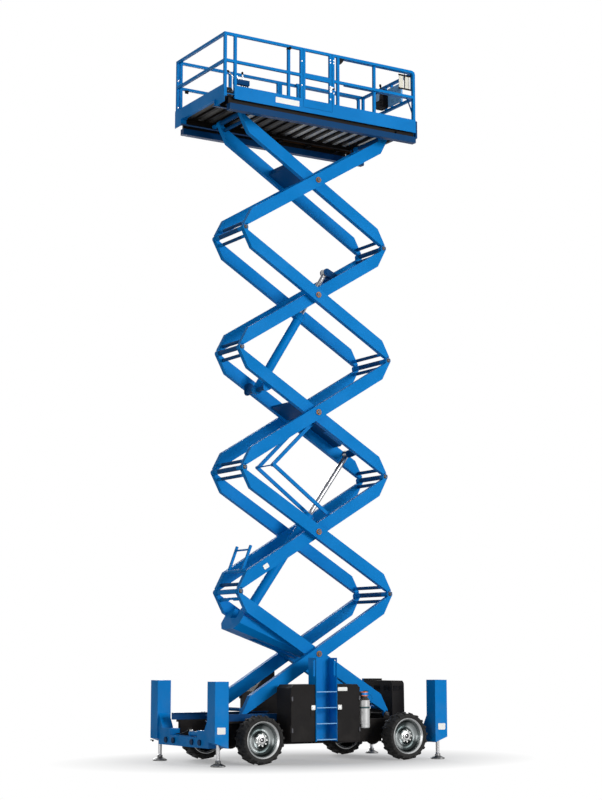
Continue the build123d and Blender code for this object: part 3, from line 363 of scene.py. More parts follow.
def sprayed(finish, bright, deep, roughness, grime):
    """Colour of sprayed enamel: clouded, scuffed and dusty, with an orange-peel skin."""
    clouds = finish.step(finish.noise(1.7, 5.0), 0.35, 0.65)
    colour = finish.blend(clouds, bright, deep)
    scuffs = finish.step(finish.noise(28.0, 9.0, (1.0, 1.0, 0.35)), 0.66, 0.72, 0.0, 0.22)
    colour = finish.blend(scuffs, colour, [c * 0.55 + 0.02 for c in bright])
    dust = finish.sums("MULTIPLY", finish.dirt(), grime)
    finish.rough(finish.sums("ADD", finish.step(clouds, 0.0, 1.0, roughness - 0.05, roughness + 0.08), dust))
    finish.relief(finish.sums("ADD", finish.noise(260.0, 2.0), scuffs), 0.12, 0.0006)
    return finish.blend(dust, colour, DUST)


def enamel(name, bright, deep, roughness=0.38, grime=1.0, gloss=0.05):
    finish = Finish(name, roughness, gloss=gloss)
    return finish.coloured(sprayed(finish, bright, deep, roughness, grime))


def arm_enamel(name):
    """Blue beams, with painted shade darkening the cross tubes between them."""
    finish = Finish(name, 0.52, gloss=0.05)
    colour = sprayed(finish, BLUE, BLUE_DEEP, 0.52, 0.06)
    # Painted shade: the cross tubes between the beams are coloured navy
    between = finish.within(finish.aside(), -1.0, 0.338)
    return finish.coloured(finish.blend(between, colour, (0.0, 0.060, 0.190)))


def platform_enamel(name):
    """Blue boards, navy bands below, painted shade making the floor frame near-black, and pale plates between
    its beams.
    """
    finish = Finish(name, 0.42, gloss=0.07)
    colour = sprayed(finish, BLUE, BLUE_DEEP, 0.42, 0.15)
    side, height = finish.aside(), finish.axis("Z")
    inboard = finish.within(side, -1.0, 0.852)
    # Painted shade: the floor frame under the boards, with the recess behind the navy band, is coloured
    # near-black
    frame_shade_mask = finish.sums("MULTIPLY", inboard, finish.within(height, BAND_TOP, FLOOR_UNDER))
    frame_shade_mask = finish.sums("MULTIPLY", frame_shade_mask, finish.within(finish.axis("X"), -1.990, 1.905))
    colour = finish.blend(frame_shade_mask, colour, (0.010, 0.008, 0.007))
    bays = finish.step(finish.noise(1.1, 2.0, (1.0, 0.35, 1.0)), 0.44, 0.50, 0.12, 1.0)
    plates = finish.sums("MULTIPLY", finish.within(height, 11.2515, FLOOR_UNDER),
                         finish.within(side, -1.0, 0.80))
    facing_down = finish.step(finish.upward(), -0.5, -0.9)
    plates = finish.sums("MULTIPLY", plates, finish.sums("MULTIPLY", facing_down, bays))
    colour = finish.blend(plates, colour, (0.80, 0.78, 0.72))
    colour = finish.blend(finish.within(height, 10.5, BAND_TOP), colour, (0.0, 0.045, 0.145))
    walked = finish.sums("MULTIPLY", finish.within(height, 11.2536, 11.2640),
                         finish.step(finish.upward(), 0.5, 0.9))
    return finish.coloured(finish.blend(walked, colour, (0.26, 0.27, 0.28)))


def extension_enamel(name):
    """Blue boards round a grey tread floor."""
    finish = Finish(name, 0.42, gloss=0.07)
    colour = sprayed(finish, BLUE, BLUE_DEEP, 0.42, 0.15)
    walked = finish.sums("MULTIPLY", finish.within(finish.axis("Z"), 11.2, 11.2912),
                         finish.step(finish.upward(), 0.5, 0.9))
    raised = lozenges(finish)
    finish.relief(finish.sums("MULTIPLY", raised, walked), 0.5, 0.003)
    steel = finish.blend(raised, (0.20, 0.21, 0.22), (0.33, 0.34, 0.35))
    colour = finish.blend(walked, colour, steel)
    bumper = finish.within(finish.axis("X"), 1.925, 2.1)
    return finish.coloured(finish.blend(bumper, colour, NAVY))


def rail_enamel(name):
    """Blue tube, with the pale panel that hangs on the end rail."""
    finish = Finish(name, 0.40, gloss=0.05)
    colour = sprayed(finish, BLUE, BLUE_DEEP, 0.40, 0.15)
    panel = finish.sums("MULTIPLY", finish.within(finish.axis("X"), 1.868, 1.8965),
                        finish.within(finish.axis("Y"), -0.512, -0.079))
    panel = finish.sums("MULTIPLY", panel, finish.within(finish.axis("Z"), 11.880, 12.244))
    return finish.coloured(finish.blend(panel, colour, (0.24, 0.54, 0.88)))


def outrigger_enamel(name):
    """Blue columns and beam, with navy bosses on the beam's face."""
    finish = Finish(name, 0.40, gloss=0.05)
    colour = sprayed(finish, BLUE, BLUE_DEEP, 0.40, 0.25)
    bosses = finish.sums("MULTIPLY", finish.within(finish.aside(), -1.0, 0.885),
                         finish.within(finish.sums("ABSOLUTE", finish.axis("X"), 0.0), 2.2606, 2.5))
    return finish.coloured(finish.blend(bosses, colour, (0.0, 0.030, 0.095)))


def lozenges(finish):
    """Raised bars in two directions, as on tread plate."""
    bars = []
    for turn in (0.785, -0.785):
        turned_place = finish.node("ShaderNodeMapping", {
            "Vector": finish.place, "Rotation": (0, 0, turn), "Scale": (1.0, 0.42, 0.0)}).outputs["Vector"]
        spots = finish.node("ShaderNodeTexVoronoi", {
            "Vector": turned_place, "Scale": 34.0, "Randomness": 0.0})
        bars.append(finish.step(spots.outputs["Distance"], 0.30, 0.20))
    return finish.sums("MAXIMUM", *bars)


def spun(name, axle_x):
    """Polished wheel dish with painted reflections: light and dark sweeps round its axle."""
    finish = Finish(name, 0.26, 1.0)
    across = finish.sums("SUBTRACT", finish.axis("X"), axle_x)
    along = finish.sums("SUBTRACT", finish.axis("Z"), TYRE_RADIUS)
    turn = finish.sums("ARCTAN2", along, across)
    sweep = finish.sums("SINE", finish.sums("ADD", finish.sums("MULTIPLY", turn, 2.0), 0.6), 0.0)
    reach = finish.sums("SQRT", finish.sums("ADD", finish.sums("MULTIPLY", across, across),
                                            finish.sums("MULTIPLY", along, along)), 0.0)
    dish = finish.within(reach, 0.082, 0.262, 0.006)
    # Painted reflection: dark sweeps over the dish, laid out by the angle round the axle
    shade = finish.sums("MULTIPLY", dish, finish.step(sweep, 0.55, -0.35))
    lines = finish.node("ShaderNodeTexNoise", {"W": finish.sums("MULTIPLY", reach, 60.0), "Detail": 6.0},
                        noise_dimensions="1D").outputs["Fac"]
    ring = finish.blend(lines, (0.44, 0.45, 0.45), (0.66, 0.67, 0.67))
    bright = finish.blend(dish, ring, (0.26, 0.28, 0.28))
    finish.rough(finish.step(lines, 0.3, 0.7, 0.20, 0.34))
    finish.relief(lines, 0.10, 0.0004)
    return finish.coloured(finish.blend(shade, bright, (0.032, 0.040, 0.040)))


def moulded(name, colour, roughness=0.5):
    """Moulded cover with a fine pebbled skin."""
    finish = Finish(name, roughness, gloss=0.07)
    clouds = finish.step(finish.noise(3.0, 5.0), 0.35, 0.65)
    tint = finish.blend(clouds, colour, [c * 1.35 + 0.004 for c in colour])
    dust = finish.sums("MULTIPLY", finish.dirt(), 0.06)
    pebbles = finish.node("ShaderNodeTexVoronoi", {"Vector": finish.place, "Scale": 240.0})
    finish.relief(pebbles.outputs["Distance"], 0.25, 0.0008)
    finish.rough(finish.step(clouds, 0.0, 1.0, roughness - 0.06, roughness + 0.08))
    return finish.coloured(finish.blend(dust, tint, DUST))


def rubber(name):
    """Tyre rubber with fine ribs on the wall and dried mud in the tread."""
    finish = Finish(name, 0.74, gloss=0.3)
    clouds = finish.step(finish.noise(7.0, 8.0), 0.38, 0.66)
    colour = finish.blend(clouds, (0.010, 0.010, 0.010), (0.022, 0.021, 0.020))
    mud = finish.step(finish.noise(16.0, 9.0), 0.60, 0.76, 0.0, 0.3)
    colour = finish.blend(mud, colour, (0.08, 0.07, 0.06))
    finish.relief(finish.noise(120.0, 6.0), 0.35, 0.0012)
    finish.rough(finish.step(clouds, 0.0, 1.0, 0.70, 0.90))
    return finish.coloured(colour)


def bare_metal(name, colour, roughness, stretch=(1.0, 1.0, 30.0), stain=0.25):
    """Machined or plated metal with fine lines and faint stains."""
    finish = Finish(name, roughness, 1.0)
    lines = finish.noise(60.0, 6.0, stretch)
    stains = finish.step(finish.noise(6.0, 7.0), 0.52, 0.74, 0.0, stain)
    tint = finish.blend(lines, colour, [c * 0.82 for c in colour])
    finish.rough(finish.sums("ADD", finish.step(lines, 0.3, 0.7, roughness * 0.7, roughness * 1.4), stains))
    finish.relief(lines, 0.06, 0.0004)
    return finish.coloured(finish.blend(stains, tint, [c * 0.45 for c in colour]))


def printed(name, colour, roughness=0.4):
    """Blank vinyl or enamel plate, a little yellowed and scuffed."""
    finish = Finish(name, roughness)
    scuffs = finish.step(finish.noise(40.0, 9.0), 0.55, 0.75, 0.0, 0.35)
    finish.relief(finish.noise(180.0, 3.0), 0.05, 0.0004)
    finish.rough(finish.step(scuffs, 0.0, 0.35, roughness, roughness + 0.25))
    return finish.coloured(finish.blend(scuffs, colour, [c * 0.7 for c in colour]))


def jack_metal(name):
    """Plated leg on a darker, scuffed foot."""
    finish = Finish(name, 0.28, 1.0)
    lines = finish.noise(40.0, 6.0, (14.0, 14.0, 0.5))
    leg = finish.blend(lines, (0.30, 0.30, 0.31), (0.62, 0.62, 0.63))
    worn = finish.step(finish.noise(18.0, 7.0), 0.4, 0.66)
    foot = finish.blend(worn, (0.075, 0.078, 0.080), (0.30, 0.30, 0.30))
    finish.rough(finish.step(finish.axis("Z"), FOOT_TOP, 0.100, 0.46, 0.24))
    finish.relief(lines, 0.05, 0.0004)
    return finish.coloured(finish.blend(finish.step(finish.axis("Z"), FOOT_TOP, 0.100), foot, leg))


def banded(name, bands, roughness, metallic):
    """Colours that change with height, (from this height, colour) each."""
    finish = Finish(name, roughness, metallic)
    height = finish.axis("Z")
    colour = bands[0][1]
    for start, tint in bands[1:]:
        colour = finish.blend(finish.step(height, start - 0.0005, start + 0.0005), colour, tint)
    stains = finish.step(finish.noise(14.0, 7.0), 0.5, 0.72, 0.0, 0.3)
    finish.relief(finish.noise(90.0, 5.0), 0.08, 0.0006)
    finish.rough(finish.step(stains, 0.0, 0.3, roughness, roughness + 0.2))
    return finish.coloured(finish.blend(stains, colour, (0.12, 0.11, 0.10)))


BLUE = (0.0, 0.205, 0.590)
BLUE_DEEP = (0.0, 0.186, 0.540)
NAVY = (0.0, 0.060, 0.200)
blue = enamel("blue_enamel", BLUE, BLUE_DEEP, grime=0.2)
blue_low = enamel("blue_enamel_near_ground", BLUE, BLUE_DEEP, 0.40, 0.25)
blue_arms = arm_enamel("blue_enamel_arms")
blue_lift = enamel("blue_enamel_lift", BLUE, BLUE_DEEP, 0.50, 0.06)
blue_outriggers = outrigger_enamel("blue_enamel_outriggers")
blue_deck = platform_enamel("blue_enamel_platform")
blue_extension = extension_enamel("blue_enamel_extension")
blue_rails = rail_enamel("blue_enamel_end_rails")
pale_blue = enamel("pale_blue_pane", (0.50, 0.72, 0.92), (0.42, 0.66, 0.90), 0.35, 0.1)
# Lighter blue: a painted highlight on the ladder rungs' front edges, and the control panel pads' own pale blue
rung_edge = enamel("rung_highlight_and_pad_blue", (0.28, 0.52, 0.80), (0.18, 0.44, 0.74), 0.40, 0.1)
chassis_black = enamel("chassis_black", (0.0115, 0.0105, 0.0105), (0.017, 0.015, 0.015), 0.50, 0.12)
track_blue = enamel("track_dark_blue", (0.0, 0.055, 0.19), (0.0, 0.045, 0.15), 0.42, 0.15)
cover_black = moulded("cover_black", (0.0080, 0.0070, 0.0070), 0.50)
grip_black = moulded("grip_black", (0.008, 0.008, 0.009), 0.62)
tyre_rubber = rubber("tyre_rubber")
chrome = bare_metal("chrome_rod", (0.34, 0.34, 0.35), 0.22, (22.0, 22.0, 0.4), 0.35)
jack_steel = jack_metal("jack_steel")
hub_pale = bare_metal("hub_pale", (0.80, 0.80, 0.79), 0.30, (6.0, 6.0, 6.0), 0.1)
dark_steel = bare_metal("dark_steel", (0.060, 0.060, 0.066), 0.40, (4.0, 4.0, 4.0), 0.3)
bolt_zinc = bare_metal("zinc_bolts", (0.72, 0.72, 0.70), 0.34, (8.0, 8.0, 8.0), 0.2)
bronze = bare_metal("bronze_bush", (0.20, 0.095, 0.040), 0.42, (1.0, 25.0, 1.0), 0.3)
white_plate = printed("blank_white_plate", (0.84, 0.84, 0.81))
cream_plate = printed("cream_fitting", (0.72, 0.69, 0.58))
brown_rail = enamel("brown_rail", (0.085, 0.040, 0.018), (0.055, 0.026, 0.012), 0.55, 0.1)
cast_grey = enamel("engine_cast_grey", (0.07, 0.07, 0.07), (0.10, 0.095, 0.09), 0.6, 0.2)
hose_black = moulded("hose_black", (0.010, 0.010, 0.010), 0.55)
canister_bands = banded("canister_bands", (
    (0.0, (0.50, 0.50, 0.50)), (0.885, (0.010, 0.05, 0.06)), (0.915, (0.50, 0.50, 0.50)),
    (1.022, (0.015, 0.015, 0.016)), (1.088, (0.78, 0.20, 0.03)), (1.104, (0.0, 0.19, 0.58)),
    (1.146, (0.78, 0.20, 0.03)),
), 0.40, 0.25)

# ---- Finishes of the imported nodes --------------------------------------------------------
# finish, how its nodes' names start; a later row overrides an earlier one
NODE_FINISHES = (
    (blue_arms, ("inner_arm", "outer_arm")),
    (blue_lift, ("inner_arm_1", "hose_link", "safety_prop", "lower_cylinder_barrel",
                 "upper_cylinder_barrel")),
    (blue_low, ("ladder",)),
    (blue_outriggers, ("rear_outrigger", "front_outrigger")),
    (blue, ("right_rear_rail", "right_front_rail", "left_rail", "rear_rail", "platform_gate")),
    (blue_deck, ("platform_deck",)),
    (blue_rails, ("extension_rails",)),
    (blue_extension, ("extension_deck",)),
    (chassis_black, ("chassis_frame", "rear_axle", "front_axle", "left_steering", "right_steering")),
    (track_blue, ("chassis_roller_tracks",)),
    (cover_black, ("right_side_box", "engine_box", "end_hood", "right_rear_door", "right_front_door",
                   "engine_door", "control_box")),
    (cast_grey, ("engine_block",)),
    (chrome, ("lower_cylinder_rod", "upper_cylinder_rod")),
    (jack_steel, ("rear_left_jack", "rear_right_jack", "front_left_jack", "front_right_jack")),
    (tyre_rubber, ("rear_left_tyre", "rear_right_tyre", "front_left_tyre", "front_right_tyre")),
    (hub_pale, ("rear_left_rim", "rear_right_rim", "front_left_rim", "front_right_rim")),
    (canister_bands, ("canister",)),
)
for finish, starts in NODE_FINISHES:
    for node_name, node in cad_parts.items():
        if node_name.startswith(starts):
            for slot in node.material_slots:
                slot.material = finish

# ---- Camera, lights and floor ------------------------------------------------------------
CAMERA_AT = (-15.694, -25.834, 1.771)
CAMERA_YAW = math.radians(31.315)
CAMERA_RISE = math.radians(8.397)
camera_data = bpy.data.cameras.new("camera")
camera_data.sensor_width = 36.0
camera_data.lens = 77.82
camera_data.clip_end = 300.0
camera = bpy.data.objects.new("camera", camera_data)
camera.location = CAMERA_AT
camera.rotation_euler = (math.pi / 2 + CAMERA_RISE, 0, -CAMERA_YAW)
bpy.context.collection.objects.link(camera)
bpy.context.scene.camera = camera

# name, place, the point aimed at, size, watts
LAMPS = (
    ("key", (16.0, -42.0, 13.0), (0, 0, 6.0), 16.0, 14000.0),
    ("fill", (-26.0, -14.0, 7.0), (0, 0, 5.0), 14.0, 1450.0),
    ("back", (10.0, 40.0, 13.0), (0, 0, 7.0), 16.0, 10500.0),
)
for name, at, target, size, watts in LAMPS:
    lamp = bpy.data.lights.new(name, "AREA")
    lamp.size = size
    lamp.energy = watts
    holder = bpy.data.objects.new(name, lamp)
    holder.matrix_world = facing(at, Vector(at) - Vector(target))
    bpy.context.collection.objects.link(holder)

WHITE = (1, 1, 1, 1)
SKY_LIGHT = 0.20        # light from all round; the camera and reflections see plain white
FLOOR_SIZE = 160.0
FLOOR_GREY = (0.58, 0.58, 0.58)

world = bpy.data.worlds.new("studio")
bpy.context.scene.world = world
world.use_nodes = True
sky = world.node_tree
for old in list(sky.nodes):
    sky.nodes.remove(old)
rays = sky.nodes.new("ShaderNodeLightPath")
seen = sky.nodes.new("ShaderNodeMath")
seen.operation = "MAXIMUM"
mirrored = sky.nodes.new("ShaderNodeMath")
mirrored.operation = "MAXIMUM"
sky.links.new(rays.outputs["Is Camera Ray"], seen.inputs[0])
sky.links.new(rays.outputs["Is Glossy Ray"], mirrored.inputs[0])
sky.links.new(rays.outputs["Is Transmission Ray"], mirrored.inputs[1])
sky.links.new(mirrored.outputs[0], seen.inputs[1])
plain = sky.nodes.new("ShaderNodeBackground")
plain.inputs["Color"].default_value = WHITE
plain.inputs["Strength"].default_value = SKY_LIGHT
white = sky.nodes.new("ShaderNodeBackground")
white.inputs["Strength"].default_value = 1.0
white.inputs["Color"].default_value = WHITE
either = sky.nodes.new("ShaderNodeMixShader")
sky.links.new(seen.outputs[0], either.inputs[0])
sky.links.new(plain.outputs[0], either.inputs[1])
sky.links.new(white.outputs[0], either.inputs[2])
sky.links.new(either.outputs[0], sky.nodes.new("ShaderNodeOutputWorld").inputs["Surface"])

bpy.ops.object.select_all(action="DESELECT")
bpy.ops.mesh.primitive_plane_add(size=FLOOR_SIZE)
studio_floor = bpy.context.object
studio_floor.name = "studio_floor"
floor_finish = Finish("studio_floor", 0.9)
floor_finish.coloured(FLOOR_GREY)
# The floor fades to white past an oval round the machine, and keeps the shadow inside it
oval = floor_finish.scaled((1 / 3.4, 1 / 2.6, 1.0))
reach = floor_finish.node("ShaderNodeVectorMath", {0: oval}, operation="LENGTH").outputs["Value"]
fade = floor_finish.step(reach, 0.50, 1.30, 0.30, 1.0)
floor_rays = floor_finish.tree.nodes.new("ShaderNodeLightPath").outputs
seen_rays = floor_finish.sums("MAXIMUM", floor_rays["Is Camera Ray"], floor_finish.sums(
    "MAXIMUM", floor_rays["Is Glossy Ray"], floor_rays["Is Transmission Ray"]))
seen_fade = floor_finish.sums("MULTIPLY", fade, seen_rays)
glow = floor_finish.node("ShaderNodeEmission", {"Strength": 1.0})
glow.inputs["Color"].default_value = WHITE
cover = floor_finish.node("ShaderNodeMixShader", {0: seen_fade, 1: floor_finish.shader.outputs[0],
                                                  2: glow.outputs[0]})
floor_finish.tree.links.new(cover.outputs[0], floor_finish.tree.nodes["Material Output"].inputs["Surface"])
studio_floor.data.materials.append(floor_finish.material)

# ---- Wheels ------------------------------------------------------------------------------
LUG_COUNT = 19
NUT_COUNT = 9
NUT_CIRCLE = 0.097

carcass = turned("tyre", (
    (0.305, -0.128), (0.322, -0.142), (0.346, -0.146), (0.362, -0.140), (0.374, -0.124),
    (0.378, -0.080), (0.379, 0.0), (0.378, 0.080), (0.374, 0.124), (0.362, 0.140),
    (0.346, 0.146), (0.322, 0.142), (0.305, 0.128), (0.302, 0.0), (0.305, -0.128),
), 88, closed=True)
# A lug runs out from the middle of the tread on the slant and down over the shoulder
lug = block("lug", (0.345, -0.017, 0.012), (TYRE_RADIUS, 0.017, 0.154))
pick(lug, lambda c, n: n.z > 0.9)
bpy.ops.transform.translate(value=(-0.008, 0.034, 0))
bpy.ops.transform.resize(value=(0.72, 1.35, 1), center_override=(0.345, 0.034, 0.152))
done()
pick(lug, lambda c, n: n.x > 0.9)
bpy.ops.transform.resize(value=(1, 0.78, 1), center_override=(TYRE_RADIUS, 0.017, 0.08))
done()
rounded(lug, 0.003, 1)
spots = []
for step in range(LUG_COUNT):
    for flip in (0, 1):
        turn = Matrix.Rotation((step + flip / 2) * 2 * math.pi / LUG_COUNT, 4, "Z")
        spots.append(turn @ Matrix.Rotation(flip * math.pi, 4, "X"))
model_tyre = joined("tyre", [carcass] + copies(lug, spots))

model_rim = turned("rim", (
    (0.3035, -0.128), (0.3035, -0.100), (0.272, -0.092), (0.268, 0.060), (0.276, 0.092),
    (0.3035, 0.104), (0.3045, 0.130), (0.296, 0.136), (0.286, 0.128), (0.272, 0.112), (0.266, 0.100),
    (0.258, 0.060), (0.238, 0.024), (0.205, 0.006), (0.160, 0.002), (0.128, 0.018), (0.112, 0.044),
    (0.084, 0.056), (0.052, 0.056), (0.046, 0.040), (0.046, 0.020), (0.105, 0.000), (0.150, -0.014),
    (0.205, -0.012), (0.242, 0.002), (0.250, -0.120), (0.292, -0.133), (0.3035, -0.128),
), 96, closed=True)
model_hub = turned("hub", (
    (0.064, 0.030), (0.064, 0.070), (0.058, 0.080), (0.046, 0.084), (0.040, 0.080),
    (0.037, 0.062), (0.012, 0.062), (0.010, 0.070), (0.004, 0.072),
), 48)
model_cap = turned("cap", (
    (0.0365, 0.050), (0.0365, 0.066), (0.032, 0.069), (0.013, 0.069), (0.011, 0.064), (0.003, 0.064),
), 32)
nut = hexagon("nut", 0.024, 0.020)
nut_places = [Matrix.Rotation(k * 2 * math.pi / NUT_COUNT, 4, "Z") @ Matrix.Translation((NUT_CIRCLE, 0, 0.049))
              for k in range(NUT_COUNT)]
model_nuts = joined("nuts", copies(nut, nut_places))

for end_name, _ in ENDS:
    for side_name, side in SIDES:
        corner = f"{end_name}_{side_name}"
        low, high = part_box(f"{corner}_tyre")
        centre = Vector([(a + b) / 2 for a, b in zip(low, high)])
        place = facing(centre, (0, side, 0))
        dish = spun(f"{corner}_dish", centre.x)
        for model, part, finish in ((model_tyre, "tyre", tyre_rubber), (model_rim, "rim", dish),
                                    (model_hub, "hub", hub_pale), (model_cap, "cap", dark_steel),
                                    (model_nuts, "nuts", bolt_zinc)):
            piece = model.copy()
            piece.data = model.data.copy()
            bpy.context.collection.objects.link(piece)
            stand(piece, place)
            piece.name = f"{corner}_wheel_{part}"
            fitted(piece, finish, f"{corner}_wheel")
            if part in ("tyre", "rim"):
                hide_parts(f"{corner}_{part}")
for model in (model_tyre, model_rim, model_hub, model_cap, model_nuts):
    bpy.data.objects.remove(model)

# ---- Pins of the lift part ---------------------------------------------------------------
for level in LEVELS:
    centre_z = BASE_PIN_Z + (level - 0.5) * LEVEL_RISE
    bush = turned("bush", (
        (0.052, 0.0), (0.052, 0.010), (0.047, 0.0135), (0.040, 0.0135), (0.038, 0.010), (0.030, 0.010),
    ), 36)
    places = [facing((CENTRE_X, side * (OUTER_FACE_Y + 0.0025), centre_z), (0, side, 0))
              for _, side in SIDES]
    fitted(joined(f"outer_{level}_centre_bushes", copies(bush, places)), bronze, f"outer_{level}")
    head = turned("head", (
        (0.034, 0.0), (0.034, 0.020), (0.030, 0.024), (0.012, 0.024), (0.010, 0.017), (0.004, 0.016),
    ), 28)
    fitted(joined(f"outer_{level}_centre_pins", copies(head, places)), dark_steel, f"outer_{level}")

# body, pin's place along the machine, its height, the beams' outer face
ELBOWS = [("chassis", RIGHT_PIN_X, BASE_PIN_Z, INNER_FACE_Y)]
for level in LEVELS:
    top_z = BASE_PIN_Z + level * LEVEL_RISE
    inner_x, outer_x = (LEFT_PIN_X, RIGHT_PIN_X) if level % 2 else (RIGHT_PIN_X, LEFT_PIN_X)
    if level < LEVELS[-1]:
        ELBOWS.append((f"inner_{level}", inner_x, top_z, INNER_FACE_Y))
    ELBOWS.append((f"outer_{level}", outer_x, top_z, OUTER_FACE_Y))
for body, x, z, face in ELBOWS:
    cap = turned("cap", (
        (0.036, 0.0), (0.036, 0.008), (0.031, 0.011), (0.025, 0.011), (0.023, 0.020),
        (0.019, 0.023), (0.008, 0.023), (0.006, 0.018),
    ), 28)
    places = [facing((x, side * (face + 0.0005), z), (0, side, 0)) for _, side in SIDES]
    caps = copies(cap, places)
    bolt = hexagon("bolt", 0.016, 0.010)
    bolt_places = []
    for _, side in SIDES:
        for turn in (0.6, 2.2):
            offset = Vector((math.cos(turn), 0, math.sin(turn))) * 0.044
            bolt_places.append(facing(Vector((x, side * face, z)) + offset, (0, side, 0)))
    fitted(joined(f"{body}_elbow_pins", caps + copies(bolt, bolt_places)), dark_steel, body)

# ---- Small parts: helpers ----------------------------------------------------------------
TO_RIGHT = Matrix(((1, 0, 0), (0, 0, -1), (0, 1, 0))).to_4x4()
TO_LEFT = Matrix.Rotation(math.pi, 4, "Z") @ TO_RIGHT
TO_REAR = Matrix(((0, 0, -1), (-1, 0, 0), (0, 1, 0))).to_4x4()
ALONG = Matrix(((0, 0, 1), (1, 0, 0), (0, 1, 0))).to_4x4()


def placed(spot, turn):
    """Place at a spot, turned so that a piece modelled facing +Z faces that way."""
    return Matrix.Translation(spot) @ turn


def card(name, width, height, thickness, place, corner=0.008):
    """A thin plate with clipped corners, centred on its place."""
    a, b, c = width / 2, height / 2, corner
    outline = ((-a + c, -b), (a - c, -b), (a, -b + c), (a, b - c),
               (a - c, b), (-a + c, b), (-a, b - c), (-a, -b + c))
    return cutout(name, outline, thickness, place, min(0.0015, thickness / 3))


def louvre(name, width, height, place):
    """A framed opening with slanted slats."""
    frame_piece = block(name, (-width / 2, -height / 2, 0), (width / 2, height / 2, 0.012))
    sink(frame_piece, lambda c, n: n.z > 0.9, 0.011, 0.010)
    slats = []
    for step in range(-1, 2):
        slat = block("slat", (-width / 2 + 0.012, -0.010, 0.001), (width / 2 - 0.012, 0.010, 0.003))
        spot = (0, step * height * 0.24, 0.003)
        slats.append(stand(slat, Matrix.Translation(spot) @ Matrix.Rotation(0.45, 4, "X")))
    return stand(rounded(joined(name, [frame_piece] + slats), 0.001, 1), place)


def bolts(name, across, height, places):
    return joined(name, copies(hexagon("bolt", across, height), places))


# ---- Platform fittings -------------------------------------------------------------------
for name, side in SIDES:
    angle_section = ((0, 0), (0.060, 0), (0.060, -0.045), (0.052, -0.045), (0.052, -0.008), (0, -0.008))
    runner = cutout(f"{name}_floor_runner", angle_section, 3.70,
                    placed((-0.02, side * 0.72 - 0.03, 11.2112), ALONG), 0.0015)
    fitted(runner, brown_rail, "platform")

# Clamp, gusset, blank plate, bolts and gate latch on the right side
collar = plate("post_collar", (-0.800, -0.912, 12.258), (-0.740, -0.852, 12.300), 0.010)
knob = stand(turned("knob", ((0.012, 0.0), (0.012, 0.012), (0.024, 0.018), (0.027, 0.030), (0.022, 0.042),
                             (0.008, 0.046)), 20), facing((-0.770, -0.910, 12.280), (0, -1, 0)))
fitted(joined("post_clamp", [collar, knob]), grip_black, "platform")

gusset = ((0, 0), (0.140, 0), (0.128, -0.026), (0.108, -0.066),
          (0.074, -0.104), (0.036, -0.130), (0, -0.140))
fitted(cutout("rail_gusset", gusset, 0.040, upright(0.240, -0.882, 12.302), 0.004), grip_black, "platform")

fitted(card("board_plate", 0.480, 0.100, 0.003, upright(-0.808, -0.9160, 11.305)), white_plate,
       "platform")

gate_bolts = [facing((x, RAIL_FACE_Y, z), (0, -1, 0))
              for x, z in ((0.080, 12.225), (0.080, 12.175), (0.080, 11.500))]
fitted(bolts("gate_bolts", 0.024, 0.010, gate_bolts), bolt_zinc, "gate")
post_bolts = [facing((x, RAIL_FACE_Y, z), (0, -1, 0)) for x, z in (
    (0.150, 12.225), (0.150, 12.175), (0.150, 11.620), (-0.512, 12.100), (-0.512, 11.660))]
fitted(bolts("gate_post_bolts", 0.024, 0.010, post_bolts), bolt_zinc, "platform")
latch_shape = ((-0.022, -0.060), (0.022, -0.060), (0.022, 0.010), (0.048, 0.022), (0.048, 0.044),
               (0.010, 0.052), (-0.022, 0.052))
keeper = cutout("gate_latch", latch_shape, 0.006, upright(0.088, -0.9095, 11.690), 0.0015)
pull = tube("latch_pull", ((0.088, -0.912, 11.730), (0.088, -0.935, 11.728), (0.088, -0.938, 11.690),
                           (0.088, -0.935, 11.652), (0.088, -0.912, 11.650)), 0.006)
fitted(joined("gate_latch", [keeper, pull]), bolt_zinc, "gate")
catch = turned("catch", ((0.016, 0), (0.016, 0.020), (0.012, 0.024), (0.004, 0.024)), 20)
fitted(stand(catch, facing((0.150, RAIL_FACE_Y, 11.700), (0, -1, 0))), dark_steel, "platform")

# Corner bracket behind the right end of the rear board
corner_shape = ((-0.066, -0.075), (0.066, -0.075), (0.066, 0.020), (0.030, 0.085), (-0.066, 0.085))
fitted(cutout("corner_bracket", corner_shape, 0.010, upright(-1.930, -0.875, 11.290), 0.002),
       grip_black, "platform")
corner_bolts = [facing((x, -0.880, z), (0, -1, 0)) for x in (-1.975, -1.895) for z in (11.245, 11.315)]
fitted(bolts("corner_bracket_bolts", 0.022, 0.009, corner_bolts), dark_steel, "platform")

# Clamp and bolts on the left rail's rear end
clamp_body = plate("left_rail_clamp", (-1.905, 0.838, 11.765), (-1.835, 0.8575, 11.826), 0.006)
knob = turned("knob", ((0.010, 0.0), (0.010, 0.014), (0.022, 0.020), (0.022, 0.036), (0.008, 0.040)), 16)
clamp_knob = stand(knob, facing((-1.870, 0.838, 11.795), (0, -1, 0)))
fitted(joined("left_rail_clamp", [clamp_body, clamp_knob]), grip_black, "platform")
rear_bolts = [facing((-2.034, 0.858, z), (0, -1, 0)) for z in (11.98, 11.48)]
fitted(bolts("rear_post_bolts", 0.026, 0.010, rear_bolts), bolt_zinc, "platform")

